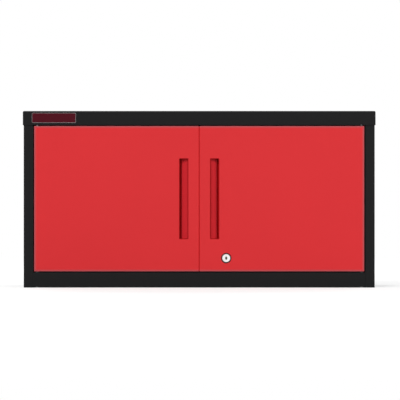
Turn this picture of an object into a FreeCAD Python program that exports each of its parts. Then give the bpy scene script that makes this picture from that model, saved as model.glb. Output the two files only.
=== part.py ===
import FreeCAD, Part
import math
import os
import Sketcher
from types import SimpleNamespace

# Two-door steel wall cabinet.
# X runs to the right, Y from the doors to the wall and Z up. The origin lies
# in the middle of the cabinet's footprint, on the underside.

# Driving dimensions in millimetres: name, value and meaning

SIZES = (
    ("carcass_width", 1000, "over the two side panels"),
    ("carcass_depth", 300, "from the front of the stiles to the wall"),
    ("cabinet_height", 503, "from the underside to the top of the cover"),
    ("panel_sheet", 1.0, "steel of the carcass"),
    ("bend_radius", 0.8, "inside radius of every fold"),
    ("stile_width", 27, "front face of a side panel"),
    ("rear_flange", 16, "side and roof panels, against the wall"),
    ("stop_depth", 24, "from the front to the stops behind the doors"),
    ("side_stop", 10, "width of the stop behind a door's hinge edge"),
    ("sill_height", 43, "top of the bottom rail"),
    ("sill_return", 18, "underside of the bottom rail"),
    ("rib_height", 12, "stop rib above the sill"),
    ("rib_width", 4, "front to back"),
    ("floor_step", 2, "floor above the sill"),
    ("floor_flange", 20, "rear edge of the floor, folded down"),
    ("head_stop", 10, "stop behind the top edge of the doors"),
    ("panel_gap", 0.2, "between panels that meet edge to edge"),
    ("stiffener_width", 60, "hat section under the floor"),
    ("stiffener_height", 15, "hat section under the floor"),
    ("stiffener_lip", 12, "hat section under the floor"),
    ("stiffener_end_gap", 18, "side panel to the end of the stiffener"),
    ("back_foot", 18, "lower edge of the back panel, folded inwards"),
    ("bead_width", 16, "pressed bead of the back panel"),
    ("bead_depth", 3, "pressed beads and swages"),
    ("bead_end_gap", 60, "side panel to the end of a bead"),
    ("bead_height", 190, "lower bead above the underside"),
    ("bead_spacing", 160, "between the two beads"),
    ("rail_width", 40, "web of a wall rail"),
    ("rail_height", 9, "wall rail, out from the back panel"),
    ("rail_lip", 12, "wall rail, spot-welded edge"),
    ("rail_end_gap", 14, "side panel to the end of a wall rail"),
    ("lower_rail_height", 85, "middle of the lower wall rail"),
    ("upper_rail_drop", 48, "top of the cabinet to the upper wall rail"),
    ("wall_hole", 9, "diameter for a wall screw"),
    ("wall_hole_spacing", 840, "across the cabinet"),

    ("cover_sheet", 1.2, "steel of the top cover"),
    ("cover_stand_off", 2.5, "cover beyond the carcass, front and sides"),
    ("cover_skirt", 40, "height of the cover's edge"),
    ("cover_corner", 4, "outer radius of the cover's edges"),
    ("cover_hem", 10, "height of the folded lower edge"),
    ("plate_offset", 413.9, "middle of the cabinet to the pressed seat for a plate"),
    ("plate_drop", 19.7, "top of the cabinet to the middle of that seat"),
    ("plate_width", 126, "pressed seat in the cover's front"),
    ("plate_height", 29, "pressed seat in the cover's front"),
    ("plate_corner", 3, "corners of that seat"),
    ("plate_seat", 0.5, "depth of that seat"),
    ("stud_diameter", 5, "welded under the cover"),
    ("stud_length", 9, "below the cover"),
    ("stud_nut_width", 8, "across flats"),
    ("stud_nut_height", 4, "hex part of the nut"),
    ("stud_nut_flange", 12, "flange of the nut"),
    ("stud_nut_flange_height", 1, "flange of the nut"),
    ("stud_side_inset", 80, "side panel to the outer studs"),
    ("stud_end_inset", 60, "front or wall to a row of studs"),

    ("door_gap", 2.5, "round the pair of doors"),
    ("seam_gap", 1.6, "between the two doors"),
    ("door_depth", 20, "front skin, front to back"),
    ("door_sheet", 1.0, "steel of a door skin"),
    ("door_edge", 2, "outer radius of a door's edges"),
    ("door_return", 12, "flange on the back of a door skin"),
    ("liner_sheet", 0.8, "steel of a door liner"),
    ("liner_inset", 1.5, "door edge to the liner's edge"),
    ("swage_width", 24, "pressed swage of a door liner"),
    ("swage_end_gap", 55, "door edge to the end of a swage"),
    ("swage_first", 150, "middle of the cabinet to the first swage"),
    ("swage_spacing", 110, "between swages"),
    ("liner_access", 36, "hole for reaching the lock nut"),

    ("pivot_inset", 8, "outer edge of a door to its pivot"),
    ("pivot_setback", 7, "front of a door to its pivot"),
    ("pin_diameter", 6, "pivot pin"),
    ("pin_head", 10, "pivot pin"),
    ("pin_head_height", 3, "pivot pin"),
    ("pin_reach", 12, "pivot pin inside the door"),
    ("pin_chamfer", 0.8, "tip of a pivot pin"),
    ("bush_diameter", 9, "pivot bush"),
    ("bush_length", 10, "pivot bush inside the door"),
    ("bush_flange", 11, "pivot bush"),
    ("bush_flange_height", 1.2, "pivot bush"),
    ("washer_diameter", 12, "bearing washer under a door"),
    ("washer_height", 1.0, "bearing washer under a door"),
    ("head_access", 15, "hole under a lower pivot pin"),

    ("pull_offset", 31, "middle of the cabinet to the pull opening"),
    ("pull_width", 26, "opening of the pull"),
    ("pull_height", 230, "opening of the pull"),
    ("pull_corner", 2, "corner radius of the opening"),
    ("pull_sheet", 0.8, "steel of the pull cup"),
    ("pull_flange", 6, "edge of the cup behind the door skin"),
    ("pull_shallow", 4.5, "depth beside the seam"),
    ("pull_slope_depth", 12, "depth where the floor drops"),
    ("pull_depth", 18, "depth of the finger pocket"),
    ("grip_width", 7, "finger pocket seen through the opening"),
    ("undercut", 11, "finger pocket behind the door skin"),

    ("lock_offset", 77, "middle of the cabinet to the lock"),
    ("lock_height", 38.3, "lower door edge to the lock"),
    ("barrel_diameter", 18, "threaded lock barrel"),
    ("barrel_flats", 16, "across the flats of the barrel"),
    ("barrel_length", 28, "behind the front of the door"),
    ("bezel_diameter", 22.8, "ring in front of the door"),
    ("bezel_height", 2.2, "ring in front of the door"),
    ("bezel_chamfer", 0.9, "ring in front of the door"),
    ("lock_nut_width", 22, "across flats"),
    ("lock_nut_height", 4, "nut behind the door skin"),
    ("plug_diameter", 14, "turning plug"),
    ("plug_recess", 0.5, "face of the plug inside the bezel"),
    ("plug_tail", 8, "diameter that carries the cam"),
    ("keyhole_width", 2.6, "slot in the plug"),
    ("keyhole_height", 7.6, "slot in the plug"),
    ("keyhole_depth", 9, "slot in the plug"),
    ("cam_gap", 0.5, "lock barrel to the cam, and the cam to the rib"),
    ("cam_width", 16, "locking cam"),
    ("cam_sheet", 2, "locking cam"),
    ("cam_length", 36, "lock axis to the tip of the cam"),
    ("cam_screw_head", 9, "screw that holds the cam"),
    ("cam_screw_head_height", 2.4, "screw that holds the cam"),
    ("cam_screw_diameter", 4, "screw that holds the cam"),
    ("cam_screw_length", 8, "in the plug"),

    ("bolt_offset", 32, "middle of the cabinet to the slide bolt"),
    ("bolt_diameter", 8, "sliding rod"),
    ("bolt_length", 80, "sliding rod"),
    ("bolt_rise", 2, "raised rod above the stop rib"),
    ("bolt_clearance", 0.5, "rod behind the stop rib"),
    ("bolt_chamfer", 1, "ends of the rod"),
    ("guide_sheet", 2, "steel of the bolt guide"),
    ("guide_width", 22, "bolt guide"),
    ("guide_height", 56, "bolt guide"),
    ("guide_rise", 8, "tip of the raised rod to the guide"),
    ("guide_edge", 3, "rod to the edge of an ear"),
    ("guide_screw_inset", 11, "ear to the screw"),
    ("knob_rise", 45, "tip of the rod to its knob"),
    ("knob_stem", 4.5, "diameter of the knob's stem"),
    ("knob_stem_length", 3, "outside the rod"),
    ("knob_diameter", 12, "knob"),
    ("knob_height", 8, "knob"),
    ("knob_chamfer", 1.5, "knob"),

    ("screw_diameter", 3, "small screws"),
    ("screw_head", 6, "small screws"),
    ("screw_head_height", 1.8, "small screws"),
    ("screw_reach", 2.4, "small screws behind the piece they hold"),

    ("catch_offset", 70, "middle of the cabinet to a catch"),
    ("catch_width", 44, "magnetic catch"),
    ("catch_height", 16, "magnetic catch"),
    ("catch_depth", 12, "magnetic catch"),
    ("catch_tab", 2, "thickness of the catch's tab"),
    ("catch_tab_height", 9, "tab behind the head stop"),
    ("catch_screw_spacing", 30, "two screws of a catch"),
    ("magnet_width", 32, "magnet"),
    ("magnet_height", 7, "magnet"),
    ("magnet_depth", 8, "magnet"),
    ("bumper_diameter", 9, "rubber bumper"),
    ("bumper_edge", 0.8, "rounding of a bumper"),
    ("bumper_inner", 120, "middle of the cabinet to the inner bumpers"),
    ("bumper_outer", 400, "middle of the cabinet to the outer bumpers"),

    ("upright_sheet", 1.2, "steel of a slotted upright"),
    ("upright_web", 24, "slotted face"),
    ("upright_height", 8, "inside of the section"),
    ("upright_lip", 8, "edge against the side panel"),
    ("upright_margin", 15, "above the floor and below the head"),
    ("upright_front_inset", 75, "front to the first upright"),
    ("upright_rear_inset", 60, "wall to the rear upright"),
    ("slot_width", 3.5, "slot of an upright"),
    ("slot_height", 12, "slot of an upright"),
    ("slot_pitch", 25, "between slots"),
    ("slot_first", 25, "end of an upright to its first slot"),
    ("shelf_slot", 6, "slots below the shelf's own slot"),
    ("clip_sheet", 1.5, "steel of a shelf clip"),
    ("clip_width", 20, "shelf clip"),
    ("clip_ledge", 14, "shelf clip under the shelf"),
    ("clip_rise", 5, "slot's middle to the top of the ledge"),
    ("hook_width", 3, "hook of a shelf clip"),
    ("hook_height", 5, "hook of a shelf clip in its slot"),
    ("hook_drop", 5, "hook of a shelf clip behind the web"),
    ("hook_thickness", 1.6, "hook of a shelf clip behind the web"),
    ("shelf_sheet", 1.0, "steel of the shelf"),
    ("shelf_height", 20, "folded edge of the shelf"),
    ("shelf_lip", 10, "folded in under the shelf"),
    ("shelf_edge", 1.8, "outer radius of the shelf's edges"),
    ("shelf_front_gap", 42, "front of the cabinet to the shelf"),
    ("shelf_rear_gap", 16, "shelf to the wall"),
    ("shelf_side_gap", 0.7, "shelf to the plates of its clips"),

    ("fit", 0.1, "between pieces that are fastened together"),
    ("running_fit", 0.05, "radial, between pieces that turn or slide"),
    ("rest_gap", 0.3, "between pieces that rest on or close on each other"),
)

doc = FreeCAD.newDocument("TwoDoorWallCabinet")
sheet = doc.addObject("Spreadsheet::Sheet", "Sizes")
for row, (alias, value, meaning) in enumerate(SIZES, start=1):
    sheet.set("A%d" % row, alias)
    sheet.set("B%d" % row, str(value))
    sheet.setAlias("B%d" % row, alias)
    sheet.set("C%d" % row, meaning)
doc.recompute()


# Lengths that follow the sheet

class Size:
    """A length as a number, with the formula that binds it to the sheet."""

    def __init__(self, number, formula):
        self.number = float(number)
        self.formula = formula

    def __add__(self, other):
        return Size(self.number + number(other), "(%s + %s)" % (self.formula, formula(other)))

    def __radd__(self, other):
        return Size(other + self.number, "(%s + %s)" % (formula(other), self.formula))

    def __sub__(self, other):
        return Size(self.number - number(other), "(%s - %s)" % (self.formula, formula(other)))

    def __rsub__(self, other):
        return Size(other - self.number, "(%s - %s)" % (formula(other), self.formula))

    def __mul__(self, other):
        return Size(self.number * number(other), "(%s * %s)" % (self.formula, formula(other)))

    __rmul__ = __mul__

    def __truediv__(self, other):
        return Size(self.number / number(other), "(%s / %s)" % (self.formula, formula(other)))

    def __neg__(self):
        return Size(-self.number, "(-%s)" % self.formula)


def number(value):
    """The value of a Size or of a plain number."""
    return value.number if isinstance(value, Size) else float(value)


def formula(value):
    """The formula of a Size, or a plain number as text."""
    return value.formula if isinstance(value, Size) else "%.9f" % value


def whole(value):
    """A Size rounded down to a whole number."""
    return Size(math.floor(value.number), "floor(%s)" % value.formula)


size = SimpleNamespace(**{alias: Size(value, "Sizes." + alias) for alias, value, _ in SIZES})


# Outlines for sketches: u runs to the sketch's right and v up

class Contour:
    """A closed outline of level and upright lines, with sharp or round corners.

    Each corner is (u, v, radius), where a radius of None leaves it sharp.
    """

    def __init__(self, corners):
        self.corners = corners

    def draw(self, drawing):
        count = len(self.corners)
        steps = []
        for (u0, v0, _), (u1, v1, _) in zip(self.corners, self.corners[1:] + self.corners[:1]):
            steps.append(direction(u0, v0, u1, v1))
        lines = []
        for index, (du, dv) in enumerate(steps):
            u0, v0, radius0 = self.corners[index]
            u1, v1, radius1 = self.corners[(index + 1) % count]
            start = number(radius0 or 0)
            end = number(radius1 or 0)
            line = drawing.line(number(u0) + du * start, number(v0) + dv * start,
                                number(u1) - du * end, number(v1) - dv * end)
            drawing.tie("Horizontal" if dv == 0 else "Vertical", line)
            if dv == 0:
                drawing.measure("DistanceY", (-1, 1, line, 1), v0)
            else:
                drawing.measure("DistanceX", (-1, 1, line, 1), u0)
            lines.append(line)
        for index, (u, v, radius) in enumerate(self.corners):
            before, after = lines[index - 1], lines[index]
            if radius is None:
                drawing.tie("Coincident", before, 2, after, 1)
                continue
            du0, dv0 = steps[index - 1]
            du1, dv1 = steps[index]
            left_turn = du0 * dv1 - dv0 * du1 > 0
            reach = number(radius)
            centre_u = number(u) + (du1 - du0) * reach
            centre_v = number(v) + (dv1 - dv0) * reach
            towards_before = math.atan2(-dv1, -du1)
            towards_after = math.atan2(dv0, du0)
            if left_turn:
                arc = drawing.arc(centre_u, centre_v, reach, towards_before, towards_after)
                drawing.tie("Tangent", before, 2, arc, 1)
                drawing.tie("Tangent", arc, 2, after, 1)
            else:
                arc = drawing.arc(centre_u, centre_v, reach, towards_after, towards_before)
                drawing.tie("Tangent", before, 2, arc, 2)
                drawing.tie("Tangent", arc, 1, after, 1)
            drawing.measure("Radius", (arc,), radius)


def direction(u0, v0, u1, v1):
    """Unit step between two points on a level or upright line."""
    du = number(u1) - number(u0)
    dv = number(v1) - number(v0)
    if abs(du) > abs(dv):
        return (1 if du > 0 else -1), 0
    return 0, (1 if dv > 0 else -1)


def rectangle(u0, u1, v0, v1, radius=None):
    """A rectangle between two pairs of edges, with sharp or round corners."""
    return Contour([(u0, v0, radius), (u1, v0, radius), (u1, v1, radius), (u0, v1, radius)])


def folded(path, thickness, side):
    """The section of a folded sheet whose one face follows a path of square turns.

    The sheet lies to the left of the path where side is 1, and to its right where it is -1.
    """
    steps = [direction(*a, *b) for a, b in zip(path, path[1:])]
    tight = size.bend_radius
    wide = size.bend_radius + thickness
    near = []
    far = []
    for index, (u, v) in enumerate(path):
        beside = [steps[i] for i in (index - 1, index) if 0 <= i < len(steps)]
        across = u - thickness * (side * sum(step[1] for step in beside))
        along = v + thickness * (side * sum(step[0] for step in beside))
        if len(beside) == 1:
            near.append((u, v, None))
            far.append((across, along, None))
            continue
        turn = beside[0][0] * beside[1][1] - beside[0][1] * beside[1][0]
        near.append((u, v, wide if turn * side > 0 else tight))
        far.append((across, along, tight if turn * side > 0 else wide))
    return Contour(near + far[::-1])


class Polygon:
    """A closed outline through points, with sharp corners."""

    def __init__(self, points):
        self.points = points

    def draw(self, drawing):
        lines = []
        for (u0, v0), (u1, v1) in zip(self.points, self.points[1:] + self.points[:1]):
            line = drawing.line(number(u0), number(v0), number(u1), number(v1))
            drawing.measure("DistanceX", (-1, 1, line, 1), u0)
            drawing.measure("DistanceY", (-1, 1, line, 1), v0)
            lines.append(line)
        for before, after in zip(lines, lines[1:] + lines[:1]):
            drawing.tie("Coincident", before, 2, after, 1)


def hexagon(u, v, across_flats):
    """A hexagon with two upright flats."""
    reach = across_flats / math.sqrt(3)
    turns = [math.radians(30 + 60 * corner) for corner in range(6)]
    return Polygon([(u + reach * math.cos(turn), v + reach * math.sin(turn)) for turn in turns])


class Circle:
    """A circle about a point."""

    def __init__(self, u, v, diameter):
        self.u = u
        self.v = v
        self.radius = diameter / 2

    def draw(self, drawing):
        ring = drawing.circle(number(self.u), number(self.v), number(self.radius))
        drawing.measure("DistanceX", (-1, 1, ring, 3), self.u)
        drawing.measure("DistanceY", (-1, 1, ring, 3), self.v)
        drawing.measure("Radius", (ring,), self.radius)


class Slot:
    """An oblong with round ends, from one end's centre to the other's."""

    def __init__(self, start, end, width):
        self.ends = (start, end)
        self.radius = width / 2

    def draw(self, drawing):
        (u0, v0), (u1, v1) = self.ends
        reach = number(self.radius)
        heading = math.atan2(number(v1) - number(v0), number(u1) - number(u0))
        side_u = -math.sin(heading) * reach
        side_v = math.cos(heading) * reach
        there = drawing.line(number(u0) - side_u, number(v0) - side_v,
                             number(u1) - side_u, number(v1) - side_v)
        back = drawing.line(number(u1) + side_u, number(v1) + side_v,
                            number(u0) + side_u, number(v0) + side_v)
        quarter = math.pi / 2
        far_end = drawing.arc(number(u1), number(v1), reach, heading - quarter, heading + quarter)
        near_end = drawing.arc(number(u0), number(v0), reach, heading + quarter, heading + 3 * quarter)
        drawing.tie("Tangent", there, 2, far_end, 1)
        drawing.tie("Tangent", far_end, 2, back, 1)
        drawing.tie("Tangent", back, 2, near_end, 1)
        drawing.tie("Tangent", near_end, 2, there, 1)
        for arc, (u, v) in ((near_end, self.ends[0]), (far_end, self.ends[1])):
            drawing.measure("DistanceX", (-1, 1, arc, 3), u)
            drawing.measure("DistanceY", (-1, 1, arc, 3), v)
            drawing.measure("Radius", (arc,), self.radius)


class DoubleFlat:
    """A circle with an upright flat on each side."""

    def __init__(self, u, v, diameter, across_flats):
        self.u = u
        self.v = v
        self.radius = diameter / 2
        self.half = across_flats / 2

    def draw(self, drawing):
        u, v = number(self.u), number(self.v)
        reach, half = number(self.radius), number(self.half)
        rise = math.sqrt(reach ** 2 - half ** 2)
        corner = math.atan2(rise, half)
        top = drawing.arc(u, v, reach, corner, math.pi - corner)
        bottom = drawing.arc(u, v, reach, math.pi + corner, 2 * math.pi - corner)
        right = drawing.line(u + half, v - rise, u + half, v + rise)
        left = drawing.line(u - half, v + rise, u - half, v - rise)
        drawing.tie("Coincident", right, 2, top, 1)
        drawing.tie("Coincident", top, 2, left, 1)
        drawing.tie("Coincident", left, 2, bottom, 1)
        drawing.tie("Coincident", bottom, 2, right, 1)
        drawing.tie("Coincident", top, 3, bottom, 3)
        drawing.tie("Vertical", right)
        drawing.tie("Vertical", left)
        drawing.measure("DistanceX", (-1, 1, top, 3), self.u)
        drawing.measure("DistanceY", (-1, 1, top, 3), self.v)
        drawing.measure("Radius", (top,), self.radius)
        drawing.measure("Radius", (bottom,), self.radius)
        drawing.measure("DistanceX", (-1, 1, right, 1), self.u + self.half)
        drawing.measure("DistanceX", (-1, 1, left, 1), self.u - self.half)


class Drawing:
    """A fully constrained sketch parallel to one of a body's origin planes."""

    # The plane's role in the body, and the sense of its normal along the world axis
    PLANES = {"XY": ("XY_Plane", 1), "XZ": ("XZ_Plane", -1), "YZ": ("YZ_Plane", 1)}

    def __init__(self, body, plane, level, outlines, origin=(0, 0)):
        role, sense = self.PLANES[plane]
        self.sketch = body.newObject("Sketcher::SketchObject", body.Label + "_sketch")
        self.sketch.AttachmentSupport = [(origin_feature(body, role), "")]
        self.sketch.MapMode = "FlatFace"
        for axis, shift in zip("xyz", (origin[0], origin[1], level * sense)):
            self.sketch.setExpression("AttachmentOffset.Base." + axis, formula(shift))
        self.shapes = []
        self.ties = []
        self.bound = {}
        for outline in outlines:
            outline.draw(self)
        self.sketch.addGeometry(self.shapes, False)
        self.sketch.addConstraint(self.ties)
        for index, text in self.bound.items():
            self.sketch.setExpression("Constraints[%d]" % index, text)

    def add(self, shape):
        self.shapes.append(shape)
        return len(self.shapes) - 1

    def line(self, u0, v0, u1, v1):
        return self.add(Part.LineSegment(FreeCAD.Vector(u0, v0, 0), FreeCAD.Vector(u1, v1, 0)))

    def circle(self, u, v, radius):
        return self.add(Part.Circle(FreeCAD.Vector(u, v, 0), FreeCAD.Vector(0, 0, 1), radius))

    def arc(self, u, v, radius, start, end):
        ring = Part.Circle(FreeCAD.Vector(u, v, 0), FreeCAD.Vector(0, 0, 1), radius)
        if end < start:
            end += 2 * math.pi
        return self.add(Part.ArcOfCircle(ring, start, end))

    def tie(self, kind, *place):
        self.ties.append(Sketcher.Constraint(kind, *place))

    def measure(self, kind, place, value):
        if isinstance(value, Size):
            self.bound[len(self.ties)] = value.formula
        self.ties.append(Sketcher.Constraint(kind, *place, number(value)))


def origin_feature(body, role):
    """A plane or axis of a body's origin."""
    return [feature for feature in body.Origin.OriginFeatures if feature.Role == role][0]


# Pieces of the cabinet

class Piece:
    """One node: a body built in place from slabs, cuts, turned parts and patterns."""

    made = []

    def __init__(self, name):
        self.name = name
        self.body = doc.addObject("PartDesign::Body", name)
        self.body.Label = name
        Piece.made.append(self)

    def feature(self, kind):
        return self.body.newObject("PartDesign::" + kind, "%s_%s" % (self.name, kind.lower()))

    def slab(self, plane, low, high, *outlines):
        """Pad outlines between two levels across the plane."""
        low, high = sorted((low, high), key=number)
        level = high if plane == "XZ" else low
        pad = self.feature("Pad")
        pad.Profile = Drawing(self.body, plane, level, outlines).sketch
        pad.setExpression("Length", (high - low).formula)
        return pad

    def cut(self, plane, low, high, *outlines):
        """Cut outlines out between two levels across the plane."""
        low, high = sorted((low, high), key=number)
        level = low if plane == "XZ" else high
        pocket = self.feature("Pocket")
        pocket.Profile = Drawing(self.body, plane, level, outlines).sketch
        pocket.setExpression("Length", (high - low).formula)
        return pocket

    def turned(self, axis, centre, points):
        """Revolve a profile about an upright axis ("Z") or one from front to back ("Y").

        The centre is the axis's (x, y) or (x, z). Points are (radius, z) or (y, radius).
        """
        revolution = self.feature("Revolution")
        profile = [Polygon(points)]
        if axis == "Z":
            drawing = Drawing(self.body, "XZ", centre[1], profile, (centre[0], 0))
            revolution.Profile = drawing.sketch
            revolution.ReferenceAxis = (drawing.sketch, ["V_Axis"])
        else:
            drawing = Drawing(self.body, "YZ", centre[0], profile, (0, centre[1]))
            revolution.Profile = drawing.sketch
            revolution.ReferenceAxis = (drawing.sketch, ["H_Axis"])
        revolution.Angle = 360
        return revolution

    def edges(self, chosen):
        """Names of the edges so far that pass a test on their bounding box."""
        doc.recompute()
        shape = self.body.Tip.Shape
        return ["Edge%d" % (i + 1) for i, edge in enumerate(shape.Edges) if chosen(edge.BoundBox)]

    def round(self, radius, chosen):
        names = self.edges(chosen)
        base = self.body.Tip
        fillet = self.feature("Fillet")
        fillet.Base = (base, names)
        fillet.setExpression("Radius", radius.formula)

    def mirror(self, *features):
        """Repeat the whole body, or some of its features, on the other side of X."""
        mirrored = self.feature("Mirrored")
        if features:
            mirrored.Originals = list(features)
        else:
            doc.recompute()
            mirrored.TransformMode = "Whole shape"
        mirrored.MirrorPlane = (origin_feature(self.body, "YZ_Plane"), [""])
        self.body.Tip = mirrored
        return mirrored

    def repeat(self, axis, spacing, count, *features):
        """Repeat the whole body, or some of its features, along a world axis."""
        pattern = self.feature("LinearPattern")
        if features:
            pattern.Originals = list(features)
        else:
            doc.recompute()
            pattern.TransformMode = "Whole shape"
        pattern.Direction = (origin_feature(self.body, axis + "_Axis"), [""])
        pattern.Mode = "Spacing"
        pattern.setExpression("Offset", spacing.formula)
        if isinstance(count, Size):
            pattern.setExpression("Occurrences", count.formula)
        else:
            pattern.Occurrences = count
        self.body.Tip = pattern
        return pattern


def near(a, b):
    """Whether a measured coordinate lies at a given one."""
    return abs(a - number(b)) < 0.01


def level_at(box, axis, value):
    """Whether a bounding box lies flat at a coordinate."""
    return near(getattr(box, axis + "Min"), value) and near(getattr(box, axis + "Max"), value)


def runs_along(box, axis):
    """Whether a bounding box is only a line along an axis."""
    return all(getattr(box, other + "Length") < 0.01 for other in "XYZ" if other != axis)


# Levels shared by the pieces

half_width = size.carcass_width / 2
wall = (size.carcass_depth + size.cover_stand_off) / 2
front = wall - size.carcass_depth
side_inner = half_width - size.panel_sheet
opening_half = half_width - size.stile_width
panel_half = side_inner - size.panel_gap

sill_top = size.sill_height
rib_top = sill_top + size.rib_height
floor_top = sill_top + size.floor_step
floor_under = floor_top - size.panel_sheet
opening_top = size.cabinet_height - size.cover_skirt
roof_top = size.cabinet_height - size.cover_sheet
roof_under = roof_top - size.panel_sheet
stop_face = front + size.stop_depth
rib_back = stop_face + size.rib_width
back_rear = wall - size.panel_sheet
back_face = back_rear - size.panel_sheet

door_outer = opening_half - size.door_gap
door_inner = size.seam_gap / 2
door_low = sill_top + size.door_gap
door_high = opening_top - size.door_gap
door_back = front + size.door_depth
liner_back = door_back + size.liner_sheet
pivot_x = door_outer - size.pivot_inset
pivot_y = front + size.pivot_setback
pull_middle = (door_low + door_high) / 2
lock_z = door_low + size.lock_height

# Allowance by which a cut passes the faces that it opens
PAST = 1.0


# Carcass

def side_panel(name, side):
    """Side, stile, door rebate and stop folded from one sheet."""
    panel = Piece(name)
    stop_edge = opening_half - size.side_stop
    path = [
        (side * (half_width - size.rear_flange), wall),
        (side * half_width, wall),
        (side * half_width, front),
        (side * opening_half, front),
        (side * opening_half, stop_face),
        (side * stop_edge, stop_face),
    ]
    panel.slab("XY", 0, roof_under, folded(path, size.panel_sheet, -side))
    clear = rectangle(side * (stop_edge - PAST), side * opening_half,
                      stop_face - size.bend_radius - PAST, stop_face + size.panel_sheet + PAST)
    head_under = opening_top - size.head_stop
    panel.cut("XY", -size.panel_sheet, rib_top + size.rest_gap, clear)
    panel.cut("XY", head_under - size.rest_gap, roof_top + PAST, clear)
    return panel


def bottom_panel():
    """Bottom rail, sill, stop rib and floor folded from one sheet."""
    panel = Piece("bottom_panel")
    floor_end = back_face
    path = [
        (front + size.sill_return, 0),
        (front, 0),
        (front, sill_top),
        (stop_face, sill_top),
        (stop_face, rib_top),
        (rib_back, rib_top),
        (rib_back, floor_top),
        (floor_end, floor_top),
        (floor_end, floor_top - size.floor_flange),
    ]
    panel.slab("YZ", -panel_half, panel_half, folded(path, size.panel_sheet, -1))
    rail_half = opening_half - size.panel_gap
    corner = panel.cut("XY", -size.panel_sheet, rib_top + PAST,
                       rectangle(rail_half, half_width, front - PAST, rib_back + size.rest_gap))
    pin_hole = panel.cut("XY", sill_top - size.panel_sheet - PAST, sill_top + PAST,
                         Circle(pivot_x, pivot_y, size.pin_diameter + 2 * size.fit))
    access = panel.cut("XY", -size.panel_sheet, size.panel_sheet * 2,
                       Circle(pivot_x, pivot_y + size.fit, size.head_access))
    panel.mirror(corner, pin_hole, access)
    return panel


def floor_stiffener():
    """Hat section welded under the floor."""
    stiffener = Piece("floor_stiffener")
    edge = size.stiffener_width / 2
    drop = floor_under - size.stiffener_height
    path = [
        (-edge - size.stiffener_lip, floor_under),
        (-edge, floor_under),
        (-edge, drop),
        (edge, drop),
        (edge, floor_under),
        (edge + size.stiffener_lip, floor_under),
    ]
    end = side_inner - size.stiffener_end_gap
    stiffener.slab("YZ", -end, end, folded(path, size.panel_sheet, -1))
    return stiffener


def stud_places():
    """Places of the studs under the cover: three across, at the front and at the rear."""
    reach = half_width - size.stud_side_inset
    rows = (front + size.stud_end_inset, wall - size.stud_end_inset)
    return [(x, y) for y in rows for x in (-reach, 0, reach)]


def catch_screw_places():
    """X of each catch screw on the right, inner one first."""
    half = size.catch_screw_spacing / 2
    return (size.catch_offset - half, size.catch_offset + half)


def catch_screw_level():
    """Height of the catch screws, halfway up the head stop."""
    return opening_top - size.head_stop / 2


def roof_panel():
    """Roof, head rail and head stop folded from one sheet."""
    panel = Piece("roof_panel")
    path = [
        (wall, roof_top - size.rear_flange),
        (wall, roof_top),
        (front, roof_top),
        (front, opening_top),
        (stop_face, opening_top),
        (stop_face, opening_top - size.head_stop),
    ]
    panel.slab("YZ", -panel_half, panel_half, folded(path, size.panel_sheet, 1))
    rail_half = opening_half - size.panel_gap
    flange_half = half_width - size.rear_flange - size.panel_gap
    low = opening_top - size.head_stop - PAST
    high = roof_top + PAST
    front_corner = panel.cut("XY", low, high,
                             rectangle(rail_half, half_width, front - PAST, rib_back + size.rest_gap))
    rear_corner = panel.cut("XY", low, high,
                            rectangle(flange_half, half_width, back_rear - size.panel_gap, wall + PAST))
    pin_hole = panel.cut("XY", opening_top - PAST, opening_top + size.panel_sheet + PAST,
                         Circle(pivot_x, pivot_y, size.pin_diameter + 2 * size.fit))
    screw_hole = size.screw_diameter + 2 * size.fit
    screws = panel.cut("XZ", stop_face - PAST, stop_face + size.panel_sheet + PAST,
                       *[Circle(x, catch_screw_level(), screw_hole) for x in catch_screw_places()])
    panel.mirror(front_corner, rear_corner, pin_hole, screws)
    stud_hole = size.stud_diameter + 2 * size.fit
    panel.cut("XY", roof_under - PAST, high, *[Circle(x, y, stud_hole) for x, y in stud_places()])
    return panel


def bead(piece, plane, start, end, width, sheet_low, sheet_high, sense):
    """Press a bead with round ends out of a sheet, towards lower or higher levels."""
    if sense < 0:
        crest, root = sheet_low - size.bead_depth, sheet_high
        floor = crest + (sheet_high - sheet_low)
    else:
        crest, root = sheet_high + size.bead_depth, sheet_low
        floor = crest - (sheet_high - sheet_low)
    inner = width - 2 * (sheet_high - sheet_low)
    outside = piece.slab(plane, crest, root, Slot(start, end, width))
    inside = piece.cut(plane, floor, root - sense * PAST, Slot(start, end, inner))
    return outside, inside


def wall_rail_levels():
    """Heights of the lower and the upper wall rail."""
    return (size.lower_rail_height, size.cabinet_height - size.upper_rail_drop)


def back_panel():
    """Flat back with a folded foot, two pressed beads and four holes for wall screws."""
    panel = Piece("back_panel")
    path = [
        (back_rear - size.back_foot, 0),
        (back_rear, 0),
        (back_rear, roof_under - size.bend_radius - size.panel_gap),
    ]
    edge = panel_half - size.bend_radius
    panel.slab("YZ", -edge, edge, folded(path, size.panel_sheet, 1))
    reach = side_inner - size.bead_end_gap
    for step in range(2):
        height = size.bead_height + step * size.bead_spacing
        bead(panel, "XZ", (-reach, height), (reach, height), size.bead_width, back_face, back_rear, -1)
    across = size.wall_hole_spacing / 2
    holes = [Circle(side * across, z, size.wall_hole) for side in (-1, 1) for z in wall_rail_levels()]
    panel.cut("XZ", back_face - PAST, back_rear + PAST, *holes)
    return panel


def wall_rail(name, height):
    """Hat section inside the back, which takes the wall screws."""
    rail = Piece(name)
    web = back_face - size.rail_height
    low = height - size.rail_width / 2
    high = height + size.rail_width / 2
    path = [
        (back_face, low - size.rail_lip),
        (back_face, low),
        (web, low),
        (web, high),
        (back_face, high),
        (back_face, high + size.rail_lip),
    ]
    end = side_inner - size.rail_end_gap
    rail.slab("YZ", -end, end, folded(path, size.panel_sheet, 1))
    across = size.wall_hole_spacing / 2
    rail.cut("XZ", web - size.panel_sheet - PAST, web + PAST,
             Circle(-across, height, size.wall_hole), Circle(across, height, size.wall_hole))
    return rail


# Top cover

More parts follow.
